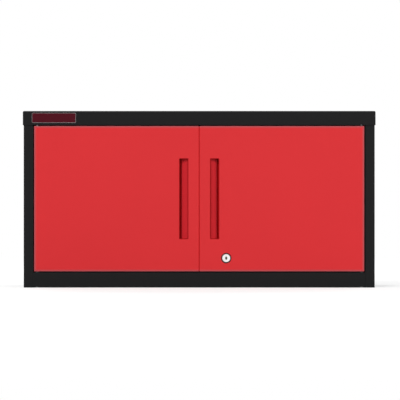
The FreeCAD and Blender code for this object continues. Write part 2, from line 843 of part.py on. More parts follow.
def top_cover():
    """Pressed tray over the roof, open below and at the wall, with a hemmed edge and a seat for a plate."""
    cover = Piece("top_cover")
    outer = half_width + size.cover_stand_off
    face = front - size.cover_stand_off
    top = size.cabinet_height
    cover.slab("XY", opening_top, top, rectangle(-outer, outer, face, wall))

    def rounded(box):
        over_top = level_at(box, "Z", top) and not level_at(box, "Y", wall)
        front_corner = runs_along(box, "Z") and level_at(box, "Y", face)
        return over_top or front_corner

    cover.round(size.cover_corner, rounded)
    skin = outer - size.cover_sheet
    ceiling = top - size.cover_sheet
    bend = size.cover_corner - size.cover_sheet
    cover.cut("XY", opening_top - PAST, ceiling,
              Contour([(-skin, face + size.cover_sheet, bend), (skin, face + size.cover_sheet, bend),
                       (skin, wall + PAST, None), (-skin, wall + PAST, None)]))
    cover.round(bend, lambda box: level_at(box, "Z", ceiling) and not level_at(box, "Y", wall))
    lining = half_width + size.fit
    corner = face + size.cover_corner
    hem_top = opening_top + size.cover_hem
    strip = cover.slab("XY", opening_top, hem_top, rectangle(lining, skin, corner, wall))
    cover.mirror(strip)
    span = outer - size.cover_corner
    inside = face + size.cover_sheet
    cover.slab("XY", opening_top, hem_top, rectangle(-span, span, inside, front - size.fit))
    middle = top - size.plate_drop
    across = size.plate_width / 2
    up = size.plate_height / 2
    seat = rectangle(-size.plate_offset - across, -size.plate_offset + across,
                     middle - up, middle + up, size.plate_corner)
    cover.slab("XZ", inside, inside + size.plate_seat, seat)
    cover.cut("XZ", face - PAST, face + size.plate_seat, seat)
    return cover


def cover_studs():
    """Studs welded to the underside of the cover."""
    studs = Piece("cover_studs")
    studs.slab("XY", roof_top - size.stud_length, roof_top,
               *[Circle(x, y, size.stud_diameter) for x, y in stud_places()])
    return studs


def cover_nuts():
    """Flanged nuts that clamp the roof to the cover."""
    nuts = Piece("cover_nuts")
    bore = size.stud_diameter + 2 * size.fit
    flange = roof_under - size.stud_nut_flange_height
    for x, y in stud_places():
        nuts.slab("XY", flange, roof_under, Circle(x, y, size.stud_nut_flange), Circle(x, y, bore))
    for x, y in stud_places():
        nuts.slab("XY", flange - size.stud_nut_height, flange,
                  hexagon(x, y, size.stud_nut_width), Circle(x, y, bore))
    return nuts


# Shelf and its uprights

upright_low = floor_top + size.upright_margin
upright_high = opening_top - size.upright_margin
web_face = side_inner - size.upright_height - size.upright_sheet
first_slot = upright_low + size.slot_first
shelf_slot = first_slot + whole(size.shelf_slot) * size.slot_pitch
ledge_top = shelf_slot + size.clip_rise
shelf_under = ledge_top + size.rest_gap
front_upright = front + size.upright_front_inset
rear_upright = wall - size.upright_rear_inset
clip_back = web_face - size.fit


def upright(name, side, middle):
    """Hat section with a row of slots, welded to a side panel."""
    channel = Piece(name)
    edge = size.upright_web / 2
    web = side_inner - size.upright_height
    path = [
        (side * side_inner, middle - edge - size.upright_lip),
        (side * side_inner, middle - edge),
        (side * web, middle - edge),
        (side * web, middle + edge),
        (side * side_inner, middle + edge),
        (side * side_inner, middle + edge + size.upright_lip),
    ]
    channel.slab("XY", upright_low, upright_high, folded(path, size.upright_sheet, side))
    slot = channel.cut("YZ", side * (web_face - PAST), side * (web + PAST),
                       rectangle(middle - size.slot_width / 2, middle + size.slot_width / 2,
                                 first_slot - size.slot_height / 2, first_slot + size.slot_height / 2))
    row = upright_high - upright_low - 2 * size.slot_first
    channel.repeat("Z", size.slot_pitch, whole(row / size.slot_pitch) + 1, slot)
    return channel


def shelf_clips():
    """Bent clips that hook into two slots each and carry the shelf on a ledge."""
    clips = Piece("shelf_clips")
    half = size.clip_width / 2
    lower_slot = shelf_slot - size.slot_pitch
    path = [
        (clip_back, lower_slot - size.slot_height / 2),
        (clip_back, ledge_top),
        (clip_back - size.clip_ledge, ledge_top),
    ]
    clips.slab("XZ", front_upright - half, front_upright + half, folded(path, size.clip_sheet, 1))
    hook_half = size.hook_width / 2
    behind = web_face + size.upright_sheet + size.fit
    for slot in (lower_slot, shelf_slot):
        low = slot - size.slot_height / 2 + size.fit
        points = [
            (clip_back - size.clip_sheet / 2, low),
            (behind, low),
            (behind, low - size.hook_drop),
            (behind + size.hook_thickness, low - size.hook_drop),
            (behind + size.hook_thickness, low + size.hook_height),
            (clip_back - size.clip_sheet / 2, low + size.hook_height),
        ]
        clips.slab("XZ", front_upright - hook_half, front_upright + hook_half, Polygon(points))
    clips.repeat("Y", rear_upright - front_upright, 2)
    clips.mirror()
    return clips


def tray(piece, plane, outline, face, rim, sheet_size, lip, radius):
    """A pressed tray between its face and its rim, with the rim folded inwards."""
    u0, u1, v0, v1 = outline
    axis = {"XY": "Z", "XZ": "Y"}[plane]
    inwards = 1 if number(rim) > number(face) else -1
    piece.slab(plane, face, rim, rectangle(u0, u1, v0, v1))
    piece.round(radius, lambda box: level_at(box, axis, face) or runs_along(box, axis))
    towards = 1 if number(u1) > number(u0) else -1
    floor = face + inwards * sheet_size
    bend = radius - sheet_size

    def inside(inset, corner):
        return rectangle(u0 + towards * inset, u1 - towards * inset, v0 + inset, v1 - inset, corner)

    piece.cut(plane, floor, rim + inwards * PAST, inside(sheet_size, bend))
    piece.round(bend, lambda box: level_at(box, axis, floor))
    piece.slab(plane, rim - inwards * sheet_size, rim,
               inside(sheet_size / 2, bend), inside(lip, radius))


def shelf():
    """Adjustable shelf with edges folded down and in."""
    board = Piece("shelf")
    half = clip_back - size.clip_sheet - size.shelf_side_gap
    outline = (-half, half, front + size.shelf_front_gap, wall - size.shelf_rear_gap)
    tray(board, "XY", outline, shelf_under + size.shelf_height, shelf_under,
         size.shelf_sheet, size.shelf_lip, size.shelf_edge)
    return board


# Doors

def pull_opening(side):
    """Edges of the opening in the door skin, as (near, far, low, high)."""
    near_edge = size.pull_offset
    return (side * near_edge, side * (near_edge + size.pull_width),
            pull_middle - size.pull_height / 2, pull_middle + size.pull_height / 2)


def door_skin(name, side, has_lock):
    """Outer pan of a door, with the opening for the pull and holes for bushes and lock."""
    skin = Piece(name)
    outline = (side * door_inner, side * door_outer, door_low, door_high)
    tray(skin, "XZ", outline, front, door_back, size.door_sheet, size.door_return, size.door_edge)
    skin.cut("XZ", front - PAST, front + size.door_sheet + PAST,
             rectangle(*pull_opening(side), size.pull_corner))
    bush_hole = Circle(side * pivot_x, pivot_y, size.bush_diameter + 2 * size.fit)
    skin.cut("XY", door_low - PAST, door_low + size.door_sheet + PAST, bush_hole)
    skin.cut("XY", door_high - size.door_sheet - PAST, door_high + PAST, bush_hole)
    if has_lock:
        skin.cut("XZ", front - PAST, front + size.door_sheet + PAST,
                 DoubleFlat(lock_x, lock_z, size.barrel_diameter + 2 * size.fit,
                            size.barrel_flats + 2 * size.fit))
    return skin


def door_liner(name, side, has_lock):
    """Inner sheet of a door, with upright pressed swages and holes for its lock or bolt."""
    liner = Piece(name)
    inset = size.liner_inset
    liner.slab("XZ", door_back, liner_back,
               rectangle(side * (door_inner + inset), side * (door_outer - inset),
                         door_low + inset, door_high - inset, size.door_edge))
    for step in range(3):
        x = side * (size.swage_first + step * size.swage_spacing)
        low = door_low + size.swage_end_gap
        high = door_high - size.swage_end_gap
        bead(liner, "XZ", (x, low), (x, high), size.swage_width, door_back, liner_back, -1)
    if has_lock:
        holes = [Circle(lock_x, lock_z, size.liner_access)]
    else:
        screw_hole = size.screw_diameter + 2 * size.fit
        holes = [Circle(bolt_x, z, screw_hole) for z in bolt_guide_screw_levels()]
    liner.cut("XZ", door_back - PAST, liner_back + PAST, *holes)
    return liner


def pull_cup(name, side):
    """Pressed cup behind the pull opening: a sloping floor and a pocket for the fingers."""
    cup = Piece(name)
    near_wall, far_edge, low, high = pull_opening(side)
    wall_size = size.pull_sheet
    back_of_skin = front + size.door_sheet
    step = far_edge - side * size.grip_width
    far_wall = far_edge + side * size.undercut
    out = side * wall_size
    outside = [
        (near_wall - out, back_of_skin),
        (near_wall - out, front + size.pull_shallow + wall_size),
        (step - out, front + size.pull_slope_depth + wall_size),
        (step - out, front + size.pull_depth + wall_size),
        (far_wall + out, front + size.pull_depth + wall_size),
        (far_wall + out, back_of_skin),
    ]
    inside = [
        (near_wall, back_of_skin - PAST),
        (near_wall, front + size.pull_shallow),
        (step, front + size.pull_slope_depth),
        (step, front + size.pull_depth),
        (far_wall, front + size.pull_depth),
        (far_wall, back_of_skin - PAST),
    ]
    cup.slab("XY", low - wall_size, high + wall_size, Polygon(outside))
    lip = size.pull_flange
    cup.slab("XZ", back_of_skin, back_of_skin + wall_size,
             rectangle(near_wall - side * lip, far_wall + side * lip, low - lip, high + lip,
                       size.pull_corner))
    cup.cut("XY", low, high, Polygon(inside))
    return cup


def pivot_bushes(name, side):
    """Flanged plastic bushes in the lower and the upper edge of a door."""
    bushes = Piece(name)
    bore = size.pin_diameter / 2 + size.running_fit
    body = size.bush_diameter / 2
    rim = size.bush_flange / 2
    for edge, inwards in ((door_low, 1), (door_high, -1)):
        points = [
            (bore, edge - inwards * size.bush_flange_height),
            (rim, edge - inwards * size.bush_flange_height),
            (rim, edge),
            (body, edge),
            (body, edge + inwards * size.bush_length),
            (bore, edge + inwards * size.bush_length),
        ]
        bushes.turned("Z", (side * pivot_x, pivot_y), points)
    return bushes


def pivot_pins(name, seat, edge, inwards):
    """Headed pins through the sill or the head rail, which the doors turn on."""
    pins = Piece(name)
    shank = size.pin_diameter / 2
    head = size.pin_head / 2
    tip = edge + inwards * size.pin_reach
    points = [
        (0, seat - inwards * size.pin_head_height),
        (head, seat - inwards * size.pin_head_height),
        (head, seat),
        (shank, seat),
        (shank, tip - inwards * size.pin_chamfer),
        (shank - size.pin_chamfer, tip),
        (0, tip),
    ]
    pins.turned("Z", (pivot_x, pivot_y), points)
    pins.mirror()
    return pins


def pivot_washers():
    """Washers on the sill, which carry the doors."""
    washers = Piece("pivot_washers")
    washers.slab("XY", sill_top, sill_top + size.washer_height,
                 Circle(pivot_x, pivot_y, size.washer_diameter),
                 Circle(pivot_x, pivot_y, size.pin_diameter + 2 * size.fit))
    washers.mirror()
    return washers


# Cylinder lock in the right door

lock_x = size.lock_offset
barrel_end = front + size.barrel_length
cam_face = barrel_end + size.cam_gap
cam_back = cam_face + size.cam_sheet


def lock_barrel():
    """Barrel with a ring in front of the door and two flats along its thread."""
    barrel = Piece("lock_barrel")
    bore = size.plug_diameter / 2 + size.running_fit
    ring = size.bezel_diameter / 2
    thread = size.barrel_diameter / 2
    rim = front - size.bezel_height
    points = [
        (rim, bore),
        (rim, ring - size.bezel_chamfer),
        (rim + size.bezel_chamfer, ring),
        (front, ring),
        (front, thread),
        (barrel_end, thread),
        (barrel_end, bore),
    ]
    barrel.turned("Y", (lock_x, lock_z), points)
    flat = size.barrel_flats / 2
    for side in (-1, 1):
        barrel.cut("XZ", front, barrel_end + PAST,
                   rectangle(lock_x + side * flat, lock_x + side * (thread + PAST),
                             lock_z - thread, lock_z + thread))
    return barrel


def lock_nut():
    """Hex nut that clamps the barrel to the door skin."""
    nut = Piece("lock_nut")
    seat = front + size.door_sheet
    nut.slab("XZ", seat, seat + size.lock_nut_height,
             hexagon(lock_x, lock_z, size.lock_nut_width),
             Circle(lock_x, lock_z, size.barrel_diameter + 2 * size.fit))
    return nut


def lock_plug():
    """Turning plug with an upright keyhole and a tail for the cam."""
    plug = Piece("lock_plug")
    face = front - size.bezel_height + size.plug_recess
    body = size.plug_diameter / 2
    tail = size.plug_tail / 2
    points = [
        (face, 0),
        (face, body),
        (cam_face, body),
        (cam_face, tail),
        (cam_back, tail),
        (cam_back, 0),
    ]
    plug.turned("Y", (lock_x, lock_z), points)
    half = size.keyhole_height / 2 - size.keyhole_width / 2
    plug.cut("XZ", face - PAST, face + size.keyhole_depth,
             Slot((lock_x, lock_z - half), (lock_x, lock_z + half), size.keyhole_width))
    plug.cut("XZ", cam_back - size.cam_screw_length, cam_back + PAST,
             Circle(lock_x, lock_z, size.cam_screw_diameter + 2 * size.fit))
    return plug


def lock_cam():
    """Flat cam on the plug. Turned down, it stands behind the stop rib."""
    cam = Piece("lock_cam")
    tip = lock_x + size.cam_length - size.cam_width / 2
    cam.slab("XZ", cam_face, cam_back,
             Slot((lock_x, lock_z), (tip, lock_z), size.cam_width),
             Circle(lock_x, lock_z, size.plug_tail + 2 * size.fit))
    return cam


def headed_screw(piece, axis_x, axis_z, seat, shank, head, head_height, reach):
    """A screw from behind: its head stands behind the seat and its shank points forward."""
    points = [
        (seat - reach, 0),
        (seat - reach, shank / 2),
        (seat, shank / 2),
        (seat, head / 2),
        (seat + head_height, head / 2),
        (seat + head_height, 0),
    ]
    piece.turned("Y", (axis_x, axis_z), points)


def cam_screw():
    """Screw that holds the cam on the plug's tail."""
    screw = Piece("cam_screw")
    headed_screw(screw, lock_x, lock_z, cam_back, size.cam_screw_diameter,
                 size.cam_screw_head, size.cam_screw_head_height,
                 size.cam_screw_length - size.rest_gap)
    return screw


# Slide bolt inside the left door

bolt_x = -size.bolt_offset
bolt_y = rib_back + size.bolt_clearance + size.bolt_diameter / 2
bolt_tip = rib_top + size.bolt_rise
guide_low = bolt_tip + size.guide_rise
guide_high = guide_low + size.guide_height
knob_z = bolt_tip + size.knob_rise


def bolt_guide_screw_levels():
    """Heights of the two screws that hold the bolt guide."""
    return (guide_low + size.guide_screw_inset, guide_high - size.guide_screw_inset)


def bolt_guide():
    """Bent bracket on the liner whose two ears guide the rod."""
    guide = Piece("bolt_guide")
    ear = bolt_y + size.bolt_diameter / 2 + size.guide_edge
    path = [(ear, guide_low), (liner_back, guide_low), (liner_back, guide_high), (ear, guide_high)]
    half = size.guide_width / 2
    guide.slab("YZ", bolt_x - half, bolt_x + half, folded(path, size.guide_sheet, -1))
    guide.cut("XY", guide_low - PAST, guide_high + PAST,
              Circle(bolt_x, bolt_y, size.bolt_diameter + 2 * size.running_fit))
    hole = size.screw_diameter + 2 * size.fit
    guide.cut("XZ", liner_back - PAST, liner_back + size.guide_sheet + PAST,
              *[Circle(bolt_x, z, hole) for z in bolt_guide_screw_levels()])
    return guide


def bolt_guide_screws():
    """Screws that hold the guide to the liner."""
    screws = Piece("bolt_guide_screws")
    for z in bolt_guide_screw_levels():
        headed_screw(screws, bolt_x, z, liner_back + size.guide_sheet, size.screw_diameter,
                     size.screw_head, size.screw_head_height, size.guide_sheet + size.screw_reach)
    return screws


def bolt_rod():
    """Sliding rod with chamfered ends and a cross hole for its knob."""
    rod = Piece("bolt_rod")
    radius = size.bolt_diameter / 2
    top = bolt_tip + size.bolt_length
    points = [
        (0, bolt_tip),
        (radius - size.bolt_chamfer, bolt_tip),
        (radius, bolt_tip + size.bolt_chamfer),
        (radius, top - size.bolt_chamfer),
        (radius - size.bolt_chamfer, top),
        (0, top),
    ]
    rod.turned("Z", (bolt_x, bolt_y), points)
    rod.cut("XZ", bolt_y, bolt_y + radius + PAST,
            Circle(bolt_x, knob_z, size.knob_stem + 2 * size.fit))
    return rod


def bolt_knob():
    """Turned knob whose stem sits in the rod's cross hole."""
    knob = Piece("bolt_knob")
    stem = size.knob_stem / 2
    head = size.knob_diameter / 2
    collar = bolt_y + size.bolt_diameter / 2 + size.knob_stem_length
    end = collar + size.knob_height
    points = [
        (bolt_y + size.fit, 0),
        (bolt_y + size.fit, stem),
        (collar, stem),
        (collar, head - size.knob_chamfer),
        (collar + size.knob_chamfer, head),
        (end - size.knob_chamfer, head),
        (end, head - size.knob_chamfer),
        (end, 0),
    ]
    knob.turned("Y", (bolt_x, knob_z), points)
    return knob


# Catches and bumpers

catch_face = liner_back + size.rest_gap
catch_top = opening_top - size.head_stop - size.rest_gap
stop_back = stop_face + size.panel_sheet


def catch_housings():
    """Catch bodies hung from tabs behind the head stop."""
    housings = Piece("catch_housings")
    left = size.catch_offset - size.catch_width / 2
    right = size.catch_offset + size.catch_width / 2
    low = catch_top - size.catch_height
    housings.slab("XZ", catch_face, catch_face + size.catch_depth, rectangle(left, right, low, catch_top))
    housings.slab("XZ", stop_back, stop_back + size.catch_tab,
                  rectangle(left, right, catch_top - size.catch_tab, catch_top + size.catch_tab_height))
    middle = catch_top - size.catch_height / 2
    across = size.magnet_width / 2 + size.fit
    up = size.magnet_height / 2 + size.fit
    housings.cut("XZ", catch_face - PAST, catch_face + size.magnet_depth + size.fit,
                 rectangle(size.catch_offset - across, size.catch_offset + across,
                           middle - up, middle + up))
    hole = size.screw_diameter + 2 * size.fit
    housings.cut("XZ", stop_back - PAST, stop_back + size.catch_tab + PAST,
                 *[Circle(x, catch_screw_level(), hole) for x in catch_screw_places()])
    housings.mirror()
    return housings


def catch_magnets():
    """Bar magnets that hold the doors' steel liners."""
    magnets = Piece("catch_magnets")
    middle = catch_top - size.catch_height / 2
    across = size.magnet_width / 2
    up = size.magnet_height / 2
    magnets.slab("XZ", catch_face, catch_face + size.magnet_depth,
                 rectangle(size.catch_offset - across, size.catch_offset + across,
                           middle - up, middle + up))
    magnets.mirror()
    return magnets


def catch_screws():
    """Screws that hold the catches to the head stop."""
    screws = Piece("catch_screws")
    for x in catch_screw_places():
        headed_screw(screws, x, catch_screw_level(), stop_back + size.catch_tab, size.screw_diameter,
                     size.screw_head, size.screw_head_height, size.catch_tab + size.panel_sheet)
    screws.mirror()
    return screws


def door_bumpers():
    """Rubber bumpers on the head stop and on the stop rib."""
    bumpers = Piece("door_bumpers")
    radius = size.bumper_diameter / 2
    tip = liner_back + size.rest_gap
    points = [
        (tip, 0),
        (tip, radius - size.bumper_edge),
        (tip + size.bumper_edge, radius),
        (stop_face, radius),
        (stop_face, 0),
    ]
    for level in (sill_top + size.rib_height / 2, opening_top - size.head_stop / 2):
        for x in (size.bumper_inner, size.bumper_outer):
            bumpers.turned("Y", (x, level), points)
    bumpers.mirror()
    return bumpers


def build():
    """Model every piece of the cabinet."""
    side_panel("left_side_panel", -1)
    side_panel("right_side_panel", 1)
    bottom_panel()
    floor_stiffener()
    roof_panel()
    back_panel()
    lower, upper = wall_rail_levels()
    wall_rail("lower_wall_rail", lower)
    wall_rail("upper_wall_rail", upper)
    top_cover()
    cover_studs()
    cover_nuts()
    for side, side_name in ((-1, "left"), (1, "right")):
        for middle, place in ((front_upright, "front"), (rear_upright, "rear")):
            upright("upright_%s_%s" % (side_name, place), side, middle)
    shelf_clips()
    shelf()
    for side, side_name in ((-1, "left"), (1, "right")):
        door_skin(side_name + "_door_skin", side, side > 0)
        door_liner(side_name + "_door_liner", side, side > 0)
        pull_cup(side_name + "_pull_cup", side)
        pivot_bushes(side_name + "_pivot_bushes", side)
    pivot_pins("lower_pivot_pins", sill_top - size.panel_sheet, door_low, 1)
    pivot_pins("upper_pivot_pins", opening_top + size.panel_sheet, door_high, -1)
    pivot_washers()
    lock_barrel()
    lock_nut()
    lock_plug()
    lock_cam()
    cam_screw()
    bolt_guide()
    bolt_guide_screws()
    bolt_rod()
    bolt_knob()
    catch_housings()
    catch_magnets()
    catch_screws()
    door_bumpers()


def check():
    """Stop if a feature failed or a piece has no sound shape."""
    doc.recompute()
    for item in doc.Objects:
        if "Invalid" in item.State or "Error" in item.State:
            raise RuntimeError("%s is %s" % (item.Name, item.State))
    for piece in Piece.made:
        shape = piece.body.Shape
        if shape.isNull() or not shape.isValid():
            raise RuntimeError("%s has no sound shape" % piece.name)


def export():
    """Write each piece to a STEP file of its own name."""
    os.makedirs("parts", exist_ok=True)
    for piece in Piece.made:
        piece.body.Shape.exportStep("parts/%s.step" % piece.body.Label)


build()
check()
export()
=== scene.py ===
"""Dresses the steel wall cabinet: its paint, bare plate and small fittings, and the studio round it."""

import logging
import math
from collections.abc import Sequence
from dataclasses import dataclass, replace
from enum import Enum

import bmesh
import bpy
from mathutils import Matrix, Vector


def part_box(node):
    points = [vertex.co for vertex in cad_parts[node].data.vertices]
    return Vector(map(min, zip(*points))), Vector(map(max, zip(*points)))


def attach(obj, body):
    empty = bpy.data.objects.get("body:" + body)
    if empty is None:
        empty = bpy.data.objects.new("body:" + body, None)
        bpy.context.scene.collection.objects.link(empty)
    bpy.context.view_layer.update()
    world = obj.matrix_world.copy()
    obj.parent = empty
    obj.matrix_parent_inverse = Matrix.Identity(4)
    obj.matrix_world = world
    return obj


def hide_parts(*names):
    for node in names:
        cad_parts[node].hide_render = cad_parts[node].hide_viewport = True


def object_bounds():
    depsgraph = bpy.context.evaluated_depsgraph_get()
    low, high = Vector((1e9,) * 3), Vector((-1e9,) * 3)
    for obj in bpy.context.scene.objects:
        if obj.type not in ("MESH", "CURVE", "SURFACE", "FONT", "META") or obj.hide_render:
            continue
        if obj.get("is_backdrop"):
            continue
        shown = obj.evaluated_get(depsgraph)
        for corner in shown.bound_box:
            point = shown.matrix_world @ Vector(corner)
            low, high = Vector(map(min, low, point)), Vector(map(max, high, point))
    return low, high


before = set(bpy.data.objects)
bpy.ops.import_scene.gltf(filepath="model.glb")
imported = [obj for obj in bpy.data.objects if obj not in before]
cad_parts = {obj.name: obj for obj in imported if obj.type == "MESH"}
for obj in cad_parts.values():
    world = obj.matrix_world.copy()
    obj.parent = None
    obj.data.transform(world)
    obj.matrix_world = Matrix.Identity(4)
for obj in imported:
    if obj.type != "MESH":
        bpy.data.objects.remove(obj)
cad_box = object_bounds()

MM = 0.001
Colour = tuple[float, float, float]
Place = tuple[float, float, float]
Point = tuple[float, float]
Socket = bpy.types.NodeSocket
Mesh = bpy.types.Mesh
Corner = bmesh.types.BMVert
log = logging.getLogger("wall_cabinet")


def extent(node: str) -> tuple[Place, ...]:
    """The lowest and the highest corner of a CAD node at rest, in millimetres, to a hundredth."""
    return tuple(tuple(round(value / MM, 2) for value in corner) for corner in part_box(node))


def middle(node: str) -> Place:
    """The middle of a CAD node at rest, in millimetres."""
    return tuple(sum(ends) / 2 for ends in zip(*extent(node)))


# The left door's outer edge, the front of both doors, and their lower and upper edges, in millimetres
(DOOR_OUTER, FRONT, DOOR_LOW), (_, _, DOOR_HIGH) = extent("left_door_skin")
# The x and z that the lock turns about
LOCK_AXIS = middle("lock_plug")[::2]


class Body(Enum):
    """The moving parts of the cabinet that a piece can ride on."""

    CARCASS = "carcass"
    LEFT_DOOR = "left_door"
    RIGHT_DOOR = "right_door"
    LOCK = "lock"
    BOLT = "door_bolt"


class Slot(Enum):
    """The finishes that the record names."""

    CARCASS_ENAMEL = "carcass_enamel"
    DOOR_ENAMEL = "door_enamel"
    ZINC = "zinc"
    LOCK_CHROME = "lock_chrome"
    NYLON = "nylon"
    CATCH_PLASTIC = "catch_plastic"
    MAGNET = "magnet"
    RUBBER = "rubber"


class Run(Enum):
    """The direction in which a row of weld marks runs, as the place of its axis in x, y, z."""

    ALONG_X = 0
    ALONG_Z = 2


class Facing(Enum):
    """The way a small piece faces, as the directions of its own u, v and w."""

    FRONT = ((1, 0, 0), (0, 0, 1), (0, -1, 0))
    REAR = ((-1, 0, 0), (0, 0, 1), (0, 1, 0))


# Shaders


class Amount:
    """A number that changes over a surface. Python's operators on it add Math nodes."""

    def __init__(self, recipe: "Recipe", socket: Socket) -> None:
        """Wraps an output socket of a node in the recipe."""
        self.recipe = recipe
        self.socket = socket

    def worked(self, operation: str, *values: "float | Amount") -> "Amount":
        """Adds one Math node.

        Args:
            operation: Blender's name for the sum.
            values: What goes into its sockets, in their order.

        Returns:
            The node's result.
        """
        sockets = dict(zip(("Value", "Value_001", "Value_002"), values))
        node = self.recipe.add("ShaderNodeMath", {"operation": operation}, sockets)
        return Amount(self.recipe, node.outputs[0])

    def __add__(self, other: "float | Amount") -> "Amount":
        """This plus the other."""
        return self.worked("ADD", self, other)

    __radd__ = __add__

    def __sub__(self, other: "float | Amount") -> "Amount":
        """This less the other."""
        return self.worked("SUBTRACT", self, other)

    def __rsub__(self, other: float) -> "Amount":
        """The other less this."""
        return self.worked("SUBTRACT", other, self)

    def __mul__(self, other: "float | Amount") -> "Amount":
        """This times the other."""
        return self.worked("MULTIPLY", self, other)

    __rmul__ = __mul__

    def __truediv__(self, other: "float | Amount") -> "Amount":
        """This divided by the other."""
        return self.worked("DIVIDE", self, other)

    def __pow__(self, other: float) -> "Amount":
        """This to the power of the other."""
        return self.worked("POWER", self, other)

    def __abs__(self) -> "Amount":
        """This without its sign."""
        return self.worked("ABSOLUTE", self)

    def __round__(self) -> "Amount":
        """The whole number nearest to this."""
        return self.worked("ROUND", self)

    def least(self, other: "float | Amount") -> "Amount":
        """The smaller of this and the other."""
        return self.worked("MINIMUM", self, other)

    def most(self, other: "float | Amount") -> "Amount":
        """The larger of this and the other."""
        return self.worked("MAXIMUM", self, other)

    def rising(self, low: float, high: float) -> "Amount":
        """A smooth step.

        Args:
            low: Where the step is still 0.
            high: Where the step has reached 1.

        Returns:
            A number from 0 to 1.
        """
        sockets = {"Value": self, "From Min": low, "From Max": high}
        node = self.recipe.add("ShaderNodeMapRange", {"interpolation_type": "SMOOTHSTEP"}, sockets)
        return Amount(self.recipe, node.outputs["Result"])


class Recipe:
    """The nodes of one material, or of the world."""

    def __init__(self, tree: bpy.types.NodeTree) -> None:
        """Empties the tree that is to be filled."""
        self.tree = tree
        self.tree.nodes.clear()

    def add(
        self,
        kind: str,
        settings: dict[str, object] | None = None,
        sockets: dict[str, object] | None = None,
    ) -> bpy.types.Node:
        """Adds one node.

        Args:
            kind: The node's type.
            settings: What to set on the node itself, before its sockets.
            sockets: A value or a link for each socket, by its identifier or its name.

        Returns:
            The new node.
        """
        node = self.tree.nodes.new(kind)
        for name, value in (settings or {}).items():
            setattr(node, name, value)
        for name, value in (sockets or {}).items():
            socket = next((s for s in node.inputs if s.identifier == name), None) or node.inputs[name]
            if isinstance(value, Amount):
                value = value.socket
            if isinstance(value, Socket):
                self.tree.links.new(value, socket)
            elif socket.type == "RGBA":
                socket.default_value = (*value, 1.0)
            else:
                socket.default_value = value
        return node

    def number(self, socket: Socket) -> Amount:
        """The output as a number to reckon with."""
        return Amount(self, socket)

    def place(self) -> Socket:
        """The place on the piece, in metres, as it is at rest."""
        return self.add("ShaderNodeTexCoord").outputs["Object"]

    def axes(self, vector: Socket) -> tuple[Amount, Amount, Amount]:
        """The three parts of a vector, as numbers."""
        node = self.add("ShaderNodeSeparateXYZ", sockets={"Vector": vector})
        return tuple(Amount(self, output) for output in node.outputs)

    def vector(self, operation: str, **sockets: object) -> bpy.types.Node:
        """Adds one Vector Math node, with a value or a link for each socket by its identifier."""
        return self.add("ShaderNodeVectorMath", {"operation": operation}, sockets)

    def stretched(self, place: Socket, scale: Place) -> Socket:
        """The place with each axis multiplied by its own number."""
        return self.vector("MULTIPLY", Vector=place, Vector_001=scale).outputs["Vector"]

    def noise(self, place: Socket, scale: float, detail: float = 2.0, uneven: float = 0.5) -> Amount:
        """Soft random clouds.

        Args:
            place: Where on the piece.
            scale: Clouds in a metre.
            detail: Layers of finer clouds.
            uneven: The strength of the finer clouds.

        Returns:
            A number around one half.
        """
        sockets = {"Vector": place, "Scale": scale, "Detail": detail, "Roughness": uneven}
        node = self.add("ShaderNodeTexNoise", {"noise_dimensions": "3D"}, sockets)
        return Amount(self, node.outputs["Fac"])

    def edge(self, reach: float, contrast: float = 5.0) -> Amount:
        """Where the surface turns over an edge.

        Args:
            reach: The width of the edge in metres.
            contrast: How soon a turn counts as a sharp edge.

        Returns:
            A number from 0 on the flat to about 1 on a sharp edge.
        """
        soft = self.add("ShaderNodeBevel", {"samples": 4}, {"Radius": reach})
        true = self.add("ShaderNodeNewGeometry")
        same = self.vector("DOT_PRODUCT", Vector=soft.outputs["Normal"], Vector_001=true.outputs["Normal"])
        return ((1 - self.number(same.outputs["Value"])) * contrast).least(1.0)

    def upward(self) -> Amount:
        """How far the surface faces up, from 0 to 1."""
        true = self.add("ShaderNodeNewGeometry")
        return self.axes(true.outputs["Normal"])[2].rising(0.75, 1.0)

    def tinted(self, colour: object, shade: Amount) -> Socket:
        """A colour made lighter or darker by a number around one."""
        return self.vector("SCALE", Vector=colour, Scale=shade).outputs["Vector"]

    def blend(self, share: Amount, under: object, over: object) -> Socket:
        """Lays one colour over another.

        Args:
            share: How much of the upper colour shows.
            under: The lower colour, or a link to it.
            over: The upper colour, or a link to it.

        Returns:
            The mixed colour.
        """
        sockets = {"Factor_Float": share, "A_Color": under, "B_Color": over}
        node = self.add("ShaderNodeMix", {"data_type": "RGBA"}, sockets)
        return next(s for s in node.outputs if s.identifier == "Result_Color")

    def relief(self, height: Amount, depth: float) -> Socket:
        """Bumps the surface by a height in which 1 stands as many metres high as the depth."""
        node = self.add("ShaderNodeBump", sockets={"Height": height, "Distance": depth})
        return node.outputs["Normal"]

    def surface(self, **sockets: object) -> None:
        """Ends the tree in a Principled shader.

        Args:
            sockets: Its values and links, by the sockets' names with _ for a space.
        """
        named = {name.replace("_", " "): value for name, value in sockets.items()}
        shader = self.add("ShaderNodeBsdfPrincipled", sockets=named)
        self.add("ShaderNodeOutputMaterial", sockets={"Surface": shader.outputs["BSDF"]})


# Finishes


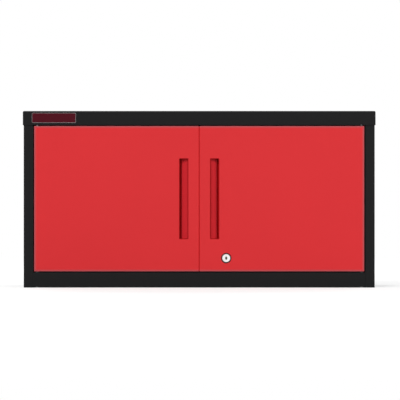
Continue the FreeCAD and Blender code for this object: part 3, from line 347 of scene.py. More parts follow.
@dataclass(frozen=True)
class WeldRow:
    """A row of spot welds that shows faintly through the paint. Sizes are in millimetres.

    Attributes:
        run: The axis along which the row runs.
        start: The place of the first mark, as x, y, z. None leaves an axis open.
        pitch: From mark to mark.
        count: The number of marks.
        radius: Of one mark.
        flat: The share of the radius over which a mark is flat.
    """

    run: Run
    start: tuple[float | None, float | None, float | None]
    pitch: float
    count: int
    radius: float = 3.2
    flat: float = 0.45

    def dents(self, axes: tuple[Amount, Amount, Amount]) -> Amount:
        """Draws the marks.

        Args:
            axes: The place on the piece, in metres.

        Returns:
            1 in the middle of a mark, falling to 0 round it.
        """
        along = self.run.value
        start = self.start[along] * MM
        pitch = self.pitch * MM
        step = (axes[along] - start) / pitch
        nearest = round(step).most(0).least(self.count - 1)
        off = (step - nearest) * pitch
        reach = off * off
        for axis, place in enumerate(self.start):
            if axis != along and place is not None:
                aside = axes[axis] - place * MM
                reach = reach + aside * aside
        distance = reach ** 0.5
        return 1 - distance.rising(self.flat * self.radius * MM, self.radius * MM)


@dataclass(frozen=True)
class PaintedEdgeShade:
    """A painted shade along the outer edges of a pair of doors, seen from the front. Sizes are in
    millimetres.

    Attributes:
        side: Middle of the cabinet to the outer edge of a door.
        low: The lower edge.
        high: The upper edge.
        front: The doors' front.
        look: The colour of the painted shade, a darker and greyer red.
        reach: How far from an edge the painted shade starts and where it is darkest.
        depth: How far it goes round the edge, at most and at its darkest.
    """

    side: float
    low: float
    high: float
    front: float
    look: Colour
    reach: tuple[float, float] = (8.0, 0.8)
    depth: tuple[float, float] = (2.5, 1.0)

    def edge_shade_share(self, axes: tuple[Amount, Amount, Amount]) -> Amount:
        """How much painted shade a place takes near the outer edges, from 0 to 1 on the edge.

        Args:
            axes: The place on the piece, in metres.

        Returns:
            A number from 0 to 1.
        """
        start, end = self.reach
        aside = abs(axes[0]).rising((self.side - start) * MM, (self.side - end) * MM)
        over = axes[2].rising((self.high - start) * MM, (self.high - end) * MM)
        under = 1 - axes[2].rising((self.low + end) * MM, (self.low + start) * MM)
        deep, shallow = self.depth
        face = 1 - axes[1].rising((self.front + shallow) * MM, (self.front + deep) * MM)
        return aside.most(over).most(under) * face


@dataclass(frozen=True)
class Finish:
    """What a piece is made of or painted with.

    Attributes:
        name: The material's name.
        slot: The record's finish that it is.
        colour: On average.
    """

    name: str
    slot: Slot
    colour: Colour

    def mix(self, recipe: Recipe) -> None:
        """Fills the recipe with the finish's nodes.

        Args:
            recipe: The empty recipe of its material.
        """
        raise NotImplementedError


@dataclass(frozen=True)
class PowderCoat(Finish):
    """Baked powder paint with a fine orange peel, with its own colour along its edges: worn, lighter paint,
    and on the doors a painted shade and highlight.

    Attributes:
        edge_wear_and_painted_light: The colour along an edge: worn paint, and on the doors painted shade
            and highlight.
        roughness: Of the gloss, on average.
        gloss: Strength of the gloss.
        edge: Width of an edge, in millimetres.
        edge_wear_and_painted_light_share: How much of that colour an edge takes, and how much of their
            painted shade a pair of doors' outer edges take.
        welds: Rows of spot welds under the paint.
        pocket_shade_depths: The y in millimetres where the painted shade deep in a pocket starts and where
            it is darkest, or none.
        pocket_shade: The colour of that painted shade, a darker red.
        outline: The outer edges of a pair of doors, along which a painted shade lies, or none.
        clouds: How far broad clouds change the tone.
        specks: How far fine specks change the tone.
        dusty: How much dust shows on what faces up.
        dust: Its colour.
        peel: Height of the orange peel, in millimetres.
        weld_depth: Depth of a weld mark, in heights of the orange peel.
    """

    edge_wear_and_painted_light: Colour
    roughness: float = 0.42
    gloss: float = 0.1
    edge: float = 1.0
    edge_wear_and_painted_light_share: float = 0.5
    welds: tuple[WeldRow, ...] = ()
    pocket_shade_depths: tuple[float, float] | None = None
    pocket_shade: Colour = (0.0, 0.0, 0.0)
    outline: PaintedEdgeShade | None = None
    clouds: float = 0.08
    specks: float = 0.10
    dusty: float = 0.012
    dust: Colour = (0.42, 0.40, 0.38)
    peel: float = 0.05
    weld_depth: float = 5.0

    def mix(self, recipe: Recipe) -> None:
        """Fills the recipe with the paint's nodes.

        Args:
            recipe: The empty recipe of its material.
        """
        place = recipe.place()
        cloud = recipe.noise(place, 3.1)
        speck = recipe.noise(place, 1250, detail=1)
        hazy = recipe.noise(recipe.stretched(place, (7, 7, 19)), 1.0, detail=4, uneven=0.6)
        hair = recipe.noise(recipe.stretched(place, (16, 16, 900)), 1.0, detail=3)
        worn = recipe.noise(place, 60, detail=3)
        peel = recipe.noise(place, 420, detail=1.5)
        axes = recipe.axes(place)
        shade = 1 + (cloud - 0.5) * self.clouds + (speck - 0.5) * self.specks
        # Edge colour: worn paint along the edges and, on the doors, painted shade and highlight there.
        rim = recipe.edge(self.edge * MM) * worn.rising(0.25, 0.6)
        dust = recipe.upward() * hazy.rising(0.3, 0.9)
        colour = recipe.tinted(self.colour, shade)
        # Painted shade: deep in a pocket the colour darkens towards the pocket's shade colour.
        if self.pocket_shade_depths:
            start, end = self.pocket_shade_depths
            colour = recipe.blend(axes[1].rising(start * MM, end * MM), colour, self.pocket_shade)
        colour = recipe.blend(dust * self.dusty, colour, self.dust)
        colour = recipe.blend(rim * self.edge_wear_and_painted_light_share, colour, self.edge_wear_and_painted_light)
        # Painted shade along the doors' outer edges.
        if self.outline:
            colour = recipe.blend(self.outline.edge_shade_share(axes) * self.edge_wear_and_painted_light_share, colour, self.outline.look)
        scuff = hair.rising(0.66, 0.74) * hazy.rising(0.55, 0.7)
        height = peel + speck * 0.25
        for row in self.welds:
            height = height - row.dents(axes) * self.weld_depth
        recipe.surface(
            Base_Color=colour,
            Roughness=self.roughness + (hazy - 0.5) * 0.06 + dust * 0.04 - scuff * 0.08,
            Specular_IOR_Level=self.gloss,
            Normal=recipe.relief(height, self.peel * MM),
        )


@dataclass(frozen=True)
class Plating(Finish):
    """Bright metal plating with soft crystals, cloudy polish and, on a turned piece, fine rings.

    Attributes:
        dull: Its tarnished look.
        roughness: On average.
        metal: How metallic it looks, less than 1 for a satin that stays pale in any light.
        crystals: In a metre.
        rings: The x and z of the axis that the turning marks go round, in millimetres, or none.
        ring_scale: Turning marks in a metre.
        depth: Height of the relief, in millimetres.
    """

    dull: Colour
    roughness: float
    metal: float = 1.0
    crystals: float = 700.0
    rings: tuple[float, float] | None = None
    ring_scale: float = 5200.0
    depth: float = 0.004

    def mix(self, recipe: Recipe) -> None:
        """Fills the recipe with the plating's nodes.

        Args:
            recipe: The empty recipe of its material.
        """
        place = recipe.place()
        cells = recipe.add("ShaderNodeTexVoronoi", sockets={"Vector": place, "Scale": self.crystals})
        grey = recipe.axes(cells.outputs["Color"])[0]
        cloud = recipe.noise(place, 45, detail=4)
        fine = recipe.noise(place, 2600, detail=1)
        colour = recipe.blend(cloud.rising(0.42, 0.8) * 0.6 + grey * 0.16, self.colour, self.dull)
        height = fine
        if self.rings:
            x, _, z = recipe.axes(place)
            out = ((x - self.rings[0] * MM) ** 2 + (z - self.rings[1] * MM) ** 2) ** 0.5
            sockets = {"W": out, "Scale": self.ring_scale}
            ring = recipe.add("ShaderNodeTexNoise", {"noise_dimensions": "1D"}, sockets)
            height = recipe.number(ring.outputs["Fac"]) * 3 + fine
        recipe.surface(
            Base_Color=colour,
            Metallic=self.metal,
            Roughness=self.roughness + (cloud - 0.5) * 0.16 + grey * 0.06,
            Normal=recipe.relief(height, self.depth * MM),
        )


@dataclass(frozen=True)
class Moulding(Finish):
    """Moulded plastic or rubber, or pressed ferrite, with the grain of its mould.

    Attributes:
        pale: The bloom or wear on top.
        roughness: On average.
        grain: Grains in a metre.
        depth: Height of the grain, in millimetres.
        gloss: Strength of the gloss.
        edge: Width of an edge, in millimetres.
    """

    pale: Colour
    roughness: float
    grain: float
    depth: float
    gloss: float = 0.4
    edge: float = 0.5

    def mix(self, recipe: Recipe) -> None:
        """Fills the recipe with the moulding's nodes.

        Args:
            recipe: The empty recipe of its material.
        """
        place = recipe.place()
        grain = recipe.noise(place, self.grain, detail=3, uneven=0.6)
        cloud = recipe.noise(place, 110, detail=3)
        rim = recipe.edge(self.edge * MM)
        colour = recipe.tinted(self.colour, 1 + (cloud - 0.5) * 0.5 + (grain - 0.5) * 0.3)
        colour = recipe.blend(rim * 0.35 + cloud.rising(0.55, 0.85) * 0.25, colour, self.pale)
        recipe.surface(
            Base_Color=colour,
            Roughness=self.roughness + (grain - 0.5) * 0.2,
            Specular_IOR_Level=self.gloss,
            Normal=recipe.relief(grain, self.depth * MM),
        )


CARCASS_ENAMEL = PowderCoat(
    "graphite_powder_coat", Slot.CARCASS_ENAMEL, (0.0098, 0.0098, 0.0102), (0.026, 0.027, 0.028)
)
SIDE_ENAMEL = replace(
    CARCASS_ENAMEL, name="graphite_powder_coat_over_side_welds",
    welds=tuple(WeldRow(Run.ALONG_Z, (None, y, 90), 66, 6) for y in (-88, -59.5, 77, 105.5)),
)
REAR_ENAMEL = replace(
    CARCASS_ENAMEL, name="graphite_powder_coat_over_rail_welds",
    welds=tuple(WeldRow(Run.ALONG_X, (-455, None, z), 70, 14) for z in (59, 111, 429, 481)),
)
BASE_ENAMEL = replace(
    CARCASS_ENAMEL, name="graphite_powder_coat_over_stiffener_welds",
    welds=tuple(WeldRow(Run.ALONG_X, (-450, y, None), 75, 13) for y in (-35, 35)),
)
# The red's edge colour is a paler pink: a painted highlight along the edges of liners and pull cups.
DOOR_ENAMEL = PowderCoat(
    "signal_red_powder_coat", Slot.DOOR_ENAMEL, (0.645, 0.0300, 0.0348), (0.50, 0.072, 0.094),
    roughness=0.40, edge=2.6, edge_wear_and_painted_light_share=0.8,
)
# On the skins the edge colour is a darker red, painted shade along every edge, and a painted shade lies
# along the doors' outer edges.
SKIN_ENAMEL = replace(
    DOOR_ENAMEL, name="signal_red_on_the_skins", edge_wear_and_painted_light=(0.50, 0.010, 0.013), edge=2.4,
    outline=PaintedEdgeShade(-DOOR_OUTER, DOOR_LOW, DOOR_HIGH, FRONT, look=(0.37, 0.086, 0.097)),
)
# The pull cups' red is a darker copy of the doors' red, painted shade in the recess, and darkens further
# deep in the pocket.
PULL_SHADE_ENAMEL = replace(
    DOOR_ENAMEL, name="signal_red_with_painted_pull_shade", colour=(0.595, 0.020, 0.028), edge_wear_and_painted_light_share=0.2, gloss=0.05,
    pocket_shade_depths=(FRONT + 11.25, FRONT + 15.75), pocket_shade=(0.49, 0.003, 0.005),
)
# A dark red for the beads in the pulls, which paint the shade line along the openings' edges.
SHADE_BEAD_ENAMEL = PowderCoat(
    "dark_red_painted_shade_bead", Slot.DOOR_ENAMEL, (0.29, 0.003, 0.004), (0.34, 0.01, 0.012),
    roughness=0.6, gloss=0.05, edge=0.3,
)
STRIP_ENAMEL = replace(
    SHADE_BEAD_ENAMEL, name="oxide_red_closing_strip", colour=(0.60, 0.009, 0.011), edge_wear_and_painted_light=(0.55, 0.009, 0.011)
)
PLATE_ENAMEL = PowderCoat(
    "dark_red_plate_enamel", Slot.CARCASS_ENAMEL, (0.070, 0.004, 0.010), (0.16, 0.03, 0.04),
    roughness=0.28, edge=0.4,
)
PLATE_METAL = Plating("dull_plate_metal", Slot.ZINC, (0.30, 0.29, 0.29), (0.16, 0.15, 0.15), 0.48)
ZINC = Plating("bright_zinc_plate", Slot.ZINC, (0.66, 0.68, 0.71), (0.42, 0.42, 0.40), 0.34)
LOCK_CHROME = Plating(
    "satin_chrome", Slot.LOCK_CHROME, (0.95, 0.94, 0.93), (0.86, 0.85, 0.84), 0.44, 0.45, 300, LOCK_AXIS
)
POLE_STEEL = Plating("pole_plate_steel", Slot.ZINC, (0.50, 0.50, 0.50), (0.30, 0.29, 0.28), 0.42)
WAFER_BRASS = Plating("wafer_brass", Slot.LOCK_CHROME, (0.72, 0.50, 0.20), (0.35, 0.24, 0.11), 0.38)
NYLON = Moulding("black_nylon", Slot.NYLON, (0.022, 0.022, 0.023), (0.075, 0.075, 0.078), 0.48, 1500, 0.02)
CATCH_PLASTIC = Moulding(
    "catch_body_plastic", Slot.CATCH_PLASTIC, (0.035, 0.035, 0.037), (0.10, 0.10, 0.105), 0.55, 900, 0.03
)
FERRITE = Moulding(
    "sintered_ferrite", Slot.MAGNET, (0.070, 0.070, 0.074), (0.17, 0.17, 0.18), 0.62, 2200, 0.02
)
SEALER = Moulding(
    "seam_sealer", Slot.CARCASS_ENAMEL, (0.009, 0.009, 0.009), (0.018, 0.018, 0.018), 0.7, 900, 0.02, 0.1
)
RUBBER = Moulding(
    "black_rubber", Slot.RUBBER, (0.014, 0.014, 0.014), (0.040, 0.039, 0.038), 0.80, 1800, 0.015, 0.15
)


# Small pieces

# The angle from which an edge counts as sharp
SHARP = math.radians(32)


@dataclass(frozen=True)
class Ring:
    """One ring of a turned piece, in millimetres.

    Attributes:
        radius: Of the ring, 0 for a point on the axis.
        height: Along the axis.
        grip: The depth of the flutes there.
    """

    radius: float
    height: float
    grip: float = 0.0


@dataclass(frozen=True)
class Seat:
    """Where a small piece is made: its own origin, in millimetres, and the way it faces."""

    x: float
    y: float
    z: float
    facing: Facing

    def matrix(self) -> Matrix:
        """From millimetres on the seat to metres in the cabinet's frame."""
        turned = Matrix(self.facing.value).transposed().to_4x4()
        return Matrix.Translation(Vector((self.x, self.y, self.z)) * MM) @ turned @ Matrix.Scale(MM, 4)


def rounded_rectangle(width: float, height: float, radius: float, steps: int = 6) -> list[Point]:
    """An outline with round corners about the origin.

    Args:
        width: Along u.
        height: Along v.
        radius: Of the corners.
        steps: Sides of one corner.

    Returns:
        Its points, counter-clockwise.
    """
    points = []
    for corner, (side, level) in enumerate(((1, 1), (-1, 1), (-1, -1), (1, -1))):
        for step in range(steps + 1):
            angle = math.radians(90 * (corner + step / steps))
            points.append((
                side * (width / 2 - radius) + radius * math.cos(angle),
                level * (height / 2 - radius) + radius * math.sin(angle),
            ))
    return points


class Blank:
    """A small piece in the making, in millimetres on its seat."""

    def __init__(self, seat: Seat) -> None:
        """Starts with nothing on the seat."""
        self.seat = seat
        self.form = bmesh.new()

    def turn(self, rings: Sequence[Ring], steps: int = 48, flutes: int = 0) -> "Blank":
        """Turns an outline about the seat's w axis.

        Args:
            rings: The outline, from one end to the other.
            steps: Sides of the round.
            flutes: Grooves round it, as deep as each ring says.

        Returns:
            This blank.
        """
        rows = []
        for ring in rings:
            if ring.radius == 0:
                rows.append([self.form.verts.new((0, 0, ring.height))] * steps)
                continue
            row = []
            for step in range(steps):
                angle = math.tau * step / steps
                radius = ring.radius - ring.grip * (0.5 - 0.5 * math.cos(flutes * angle))
                u, v = radius * math.cos(angle), radius * math.sin(angle)
                row.append(self.form.verts.new((u, v, ring.height)))
            rows.append(row)
        for low, high in zip(rows, rows[1:]):
            self.walls(low, high)
        return self

    def loop(self, outline: Sequence[Point], level: float, size: float = 1.0) -> list[Corner]:
        """The points of an outline at a level of w, at their own size or another."""
        return [self.form.verts.new((u * size, v * size, level)) for u, v in outline]

    def face(self, corners: Sequence[Corner]) -> None:
        """Adds a face.

        Args:
            corners: Its points in turn, of which some may fall together.
        """
        apart = list(dict.fromkeys(corners))
        if len(apart) > 2:
            self.form.faces.new(apart)

    def plate(self, outline: Sequence[Point], low: float, high: float, taper: float = 1.0) -> "Blank":
        """Adds a flat plate.

        Args:
            outline: Its points, counter-clockwise.
            low: Its underside on w.
            high: Its face on w.
            taper: The size of the underside against the face.

        Returns:
            This blank.
        """
        under, over = self.loop(outline, low, taper), self.loop(outline, high)
        self.face(under[::-1])
        self.face(over)
        self.walls(under, over)
        return self

    def band(self, outer: Sequence[Point], inner: Sequence[Point], low: float, high: float) -> "Blank":
        """Adds a flat band between two outlines with as many points as each other.

        Args:
            outer: The outside.
            inner: The inside.
            low: Its underside on w.
            high: Its face on w.

        Returns:
            This blank.
        """
        edges = ((outer, low), (outer, high), (inner, high), (inner, low))
        loops = [self.loop(outline, level) for outline, level in edges]
        for loop, following in zip(loops, loops[1:] + loops[:1]):
            self.walls(loop, following)
        return self

    def walls(self, low: Sequence[Corner], high: Sequence[Corner]) -> None:
        """Joins two closed loops with faces.

        Args:
            low: The points of one loop.
            high: The points of the other, as many as of the first.
        """
        for here in range(len(low)):
            after = (here + 1) % len(low)
            self.face((low[here], low[after], high[after], high[here]))

    def mesh(self) -> Mesh:
        """Ends the making.

        Returns:
            The form as a mesh in metres, in the cabinet's frame.
        """
        bmesh.ops.recalc_face_normals(self.form, faces=self.form.faces)
        mesh = bpy.data.meshes.new("blank")
        self.form.to_mesh(mesh)
        self.form.free()
        mesh.transform(self.seat.matrix())
        return mesh


class Workshop:
    """Makes each finish once, puts it on CAD nodes, and turns blanks into finished pieces."""

    def __init__(self) -> None:
        """Starts with no material made."""
        self.made: dict[str, bpy.types.Material] = {}

    def material(self, finish: Finish) -> bpy.types.Material:
        """Makes the material of a finish, when it is first asked for.

        Args:
            finish: What the material shows.

        Returns:
            The material.
        """
        if finish.name not in self.made:
            material = bpy.data.materials.new(finish.name)
            material.use_nodes = True
            finish.mix(Recipe(material.node_tree))
            self.made[finish.name] = material
        return self.made[finish.name]

    def dress(self, finish: Finish, *nodes: str) -> None:
        """Puts a finish on CAD nodes.

        Args:
            finish: What they are made of or painted with.
            nodes: Their names.
        """
        for name in nodes:
            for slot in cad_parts[name].material_slots:
                slot.material = self.material(finish)
            log.info("%s: %s", name, finish.name)

    def sunk(self, solid: Blank, cutter: Blank) -> Mesh:
        """Cuts one blank out of another.

        Args:
            solid: What stays.
            cutter: What is taken out.

        Returns:
            The cut mesh.
        """
        holder, tool = (bpy.data.objects.new("blank", blank.mesh()) for blank in (solid, cutter))
        for item in (holder, tool):
            bpy.context.scene.collection.objects.link(item)
        cut = holder.modifiers.new("recess", "BOOLEAN")
        cut.operation, cut.solver, cut.object = "DIFFERENCE", "EXACT", tool
        graph = bpy.context.evaluated_depsgraph_get()
        mesh = bpy.data.meshes.new_from_object(holder.evaluated_get(graph))
        for item in (holder, tool):
            bpy.data.objects.remove(item)
        return mesh

    def fit(
        self,
        name: str,
        meshes: Sequence[Mesh],
        body: Body,
        finish: Finish,
        stands_for: Sequence[str] = (),
        soften: float = 0.0,
    ) -> None:
        """Puts a finished piece on the cabinet.

        Args:
            name: The piece's name.
            meshes: Its shapes, in place.
            body: What it moves with.
            finish: Its material.
            stands_for: CAD nodes that it takes the place of.
            soften: Rounding of its edges, in millimetres.
        """
        whole, mesh = bmesh.new(), bpy.data.meshes.new(name)
        for shape in meshes:
            whole.from_mesh(shape)
            bpy.data.meshes.remove(shape)
        whole.to_mesh(mesh)
        whole.free()
        piece = bpy.data.objects.new(name, mesh)
        bpy.context.scene.collection.objects.link(piece)
        mesh.polygons.foreach_set("use_smooth", [True] * len(mesh.polygons))
        mesh.set_sharp_from_angle(angle=SHARP)
        mesh.materials.append(self.material(finish))
        if soften:
            edge = piece.modifiers.new("softened_edges", "BEVEL")
            edge.width, edge.segments = soften * MM, 2
            edge.limit_method, edge.angle_limit = "ANGLE", SHARP
            edge.harden_normals = True
        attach(piece, body.value)
        finish.slot.value
        if stands_for:
            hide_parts(*stands_for)
        log.info("%s: %s on %s", name, finish.name, body.value)


@dataclass(frozen=True)
class CrossScrew:
    """A pan-head screw with a cross recess. Sizes are in millimetres.

    Attributes:
        head: Diameter of the head.
        height: Of the head.
        shank: Diameter of the shank.
        reach: Of the shank behind the head.
        tip: Chamfer of the shank.
        rim: The share of the head's height that is straight.
        arm: Half of the cross, as a share of the head's diameter.
        slit: Half of the width of its arms, as a share of the same.
        sink: The height of the cross's floor, as a share of the head's.
        taper: The size of that floor against the cross's mouth.
    """

    head: float
    height: float
    shank: float
    reach: float
    tip: float = 0.3
    rim: float = 0.35
    arm: float = 0.30
    slit: float = 0.065
    sink: float = 0.25
    taper: float = 0.55

    def mesh(self, shop: Workshop, seat: Seat) -> Mesh:
        """Makes the screw.

        Args:
            shop: Where the recess is cut.
            seat: The seat of the head.

        Returns:
            The mesh.
        """
        radius, top, shank, end = self.head / 2, self.height, self.shank / 2, -self.reach
        rim, dome = top * self.rim, top * (1 - self.rim)
        rings = [
            Ring(0, end), Ring(shank - self.tip, end), Ring(shank, end + self.tip),
            Ring(shank, 0), Ring(radius, 0),
        ]
        for angle in map(math.radians, (0, 18, 36, 52, 66, 78)):
            rings.append(Ring(radius * math.cos(angle), rim + dome * math.sin(angle)))
        body = Blank(seat).turn([*rings, Ring(0, top)], steps=40)
        arm, half = self.head * self.arm, self.head * self.slit
        cross = [
            (arm, -half), (arm, half), (half, half), (half, arm), (-half, arm), (-half, half),
            (-arm, half), (-arm, -half), (-half, -half), (-half, -arm), (half, -arm), (half, -half),
        ]
        past = top + 0.5
        return shop.sunk(body, Blank(seat).plate(cross, top * self.sink, past, self.taper))


# The cabinet's parts


@dataclass(frozen=True)
class Assembly:
    """A part of the cabinet. All of its sizes are in millimetres.

    Attributes:
        shop: Where its pieces are made and finished.
    """

    shop: Workshop

    def make(self) -> None:
        """Finishes the part's CAD nodes, and makes its small pieces."""
        raise NotImplementedError


@dataclass(frozen=True)
class Carcass(Assembly):
    """The folded steel box: sides, floor, roof, back, uprights and shelf.

    Attributes:
        rail_end: Middle of the joint between the bottom rail and a side.
        rail_height: Of the bottom rail.
        sealer_width: Of the sealer in that joint, which reaches a little into both sheets.
        sealer_depths: Where the sealer starts and ends behind the front.
        sealer_end: From the sealer's end to that of the rail, and the round of its corners.
    """

    rail_end: float = 472.9
    rail_height: float = 43.0
    sealer_width: float = 1.2
    sealer_depths: tuple[float, float] = (0.45, 0.95)
    sealer_end: float = 0.3

    def make(self) -> None:
        """Paints the carcass, and seals the ends of its bottom rail."""
        dress = self.shop.dress
        dress(SIDE_ENAMEL, "left_side_panel", "right_side_panel")
        dress(REAR_ENAMEL, "back_panel")
        dress(BASE_ENAMEL, "bottom_panel")
        dress(
            CARCASS_ENAMEL, "roof_panel", "floor_stiffener", "lower_wall_rail", "upper_wall_rail",
            "upright_left_front", "upright_left_rear", "upright_right_front", "upright_right_rear", "shelf",
        )
        dress(ZINC, "shelf_clips")
        start, end = self.sealer_depths
        height = self.rail_height - 2 * self.sealer_end
        outline = rounded_rectangle(self.sealer_width, height, self.sealer_end, steps=2)
        seats = [Seat(side * self.rail_end, FRONT, self.rail_height / 2, Facing.FRONT) for side in (-1, 1)]
        beads = [Blank(seat).plate(outline, -end, -start).mesh() for seat in seats]
        self.shop.fit("rail_end_sealer", beads, Body.CARCASS, SEALER)


@dataclass(frozen=True)
class TopCover(Assembly):
    """The cover on the roof, with a bare plate at the left of its front skirt.

    Attributes:
        plate_x: Middle of the plate.
        plate_z: Middle of the plate.
        plate_width: Of the plate.
        plate_height: Of the plate.
        seat_depth: Of the skirt's pressed seat behind the plate.
        plate_sheet: Thickness of the plate's rim, a little less than the seat is deep.
        plate_corner: Of the plate.
        rim: Width of the plate's rim.
        dish: How far the enamel lies below the rim.
        field_corner: Of the enamel.
    """

    plate_x: float = -413.9
    plate_z: float = 483.3
    plate_width: float = 125.3
    plate_height: float = 28.3
    seat_depth: float = 0.5
    plate_sheet: float = 0.46
    plate_corner: float = 3.0
    rim: float = 0.9
    dish: float = 0.14
    field_corner: float = 2.0

    def make(self) -> None:
        """Paints the cover, and makes the bare plate."""
        self.shop.dress(CARCASS_ENAMEL, "top_cover")
        self.shop.dress(ZINC, "cover_studs", "cover_nuts")
        skirt = extent("top_cover")[0][1]
        seat = Seat(self.plate_x, skirt + self.seat_depth, self.plate_z, Facing.FRONT)
        width, height = self.plate_width, self.plate_height
        outer = rounded_rectangle(width, height, self.plate_corner)
        inner = rounded_rectangle(width - 2 * self.rim, height - 2 * self.rim, self.field_corner)
        field = Blank(seat).plate(inner, 0.0, self.plate_sheet - self.dish)
        self.shop.fit("bare_plate_field", [field.mesh()], Body.CARCASS, PLATE_ENAMEL)
        border = Blank(seat).band(outer, inner, 0.0, self.plate_sheet)
        self.shop.fit("bare_plate_rim", [border.mesh()], Body.CARCASS, PLATE_METAL, soften=0.1)


@dataclass(frozen=True)
class Doors(Assembly):
    """Both doors with their liners and pull cups, and the nylon bushes and zinc pins that they turn on.

    Attributes:
        pull_x: Middle of the cabinet to the middle of a pull.
        pull_z: Middle height of a pull.
        pull_width: Of its opening.
        pull_height: Of its opening.
        pull_corner: Of its opening.
        bead: Width of the dark bead inside the opening's edge, which paints the shade line along that edge.
        bead_depths: Where the bead starts and ends behind the front.
        bead_corner: Inside the bead.
        strip_edges: X of the strip on the left door's edge, which closes most of the gap to the right door.
        strip_depths: Where the strip starts and ends behind the front.
        strip_end: From the strip's end to that of the doors.
        strip_corner: Of the strip.
        soften: Rounding of the bead and the strip.
    """

    pull_x: float = 44.0
    pull_z: float = 253.0
    pull_width: float = 26.0
    pull_height: float = 230.0
    pull_corner: float = 2.0
    bead: float = 1.8
    bead_depths: tuple[float, float] = (0.25, 1.0)
    bead_corner: float = 0.2
    strip_edges: tuple[float, float] = (-0.85, 0.4)
    strip_depths: tuple[float, float] = (0.9, 1.8)
    strip_end: float = 1.5
    strip_corner: float = 0.3
    soften: float = 0.15

    def make(self) -> None:
        """Paints the doors, dresses their pivots, and makes the dark beads of painted shade in the pulls
        and the closing strip.
        """
        dress = self.shop.dress
        sides = (("left", -self.pull_x, Body.LEFT_DOOR), ("right", self.pull_x, Body.RIGHT_DOOR))
        for side, x, body in sides:
            dress(SKIN_ENAMEL, f"{side}_door_skin")
            dress(DOOR_ENAMEL, f"{side}_door_liner")
            dress(PULL_SHADE_ENAMEL, f"{side}_pull_cup")
            dress(NYLON, f"{side}_pivot_bushes")
            self.pull_shade_bead(f"{side}_pull_shade_bead", x, body)
        dress(NYLON, "pivot_washers")
        dress(ZINC, "lower_pivot_pins", "upper_pivot_pins")
        self.closing_strip()

    def pull_shade_bead(self, name: str, x: float, body: Body) -> None:
        """Makes the dark bead where a pull cup meets its opening, a joint made dark as painted shade along
        the opening's edge.

        Args:
            name: Of the piece.
            x: Middle of the pull.
            body: The door.
        """
        start, end = self.bead_depths
        width, height = self.pull_width, self.pull_height
        outer = rounded_rectangle(width, height, self.pull_corner)
        inner = rounded_rectangle(width - 2 * self.bead, height - 2 * self.bead, self.bead_corner)
        blank = Blank(Seat(x, FRONT, self.pull_z, Facing.FRONT)).band(outer, inner, -end, -start)
        self.shop.fit(name, [blank.mesh()], body, SHADE_BEAD_ENAMEL, soften=self.soften)

    def closing_strip(self) -> None:
        """Makes the narrow strip that closes the gap between the doors, as it is fixed to the left one."""
        left, right = self.strip_edges
        start, end = self.strip_depths
        seat = Seat((left + right) / 2, FRONT, (DOOR_LOW + DOOR_HIGH) / 2, Facing.FRONT)
        height = DOOR_HIGH - DOOR_LOW - 2 * self.strip_end
        outline = rounded_rectangle(right - left, height, self.strip_corner, steps=3)
        blank = Blank(seat).plate(outline, -end, -start)
        self.shop.fit("closing_strip", [blank.mesh()], Body.LEFT_DOOR, STRIP_ENAMEL, soften=self.soften)


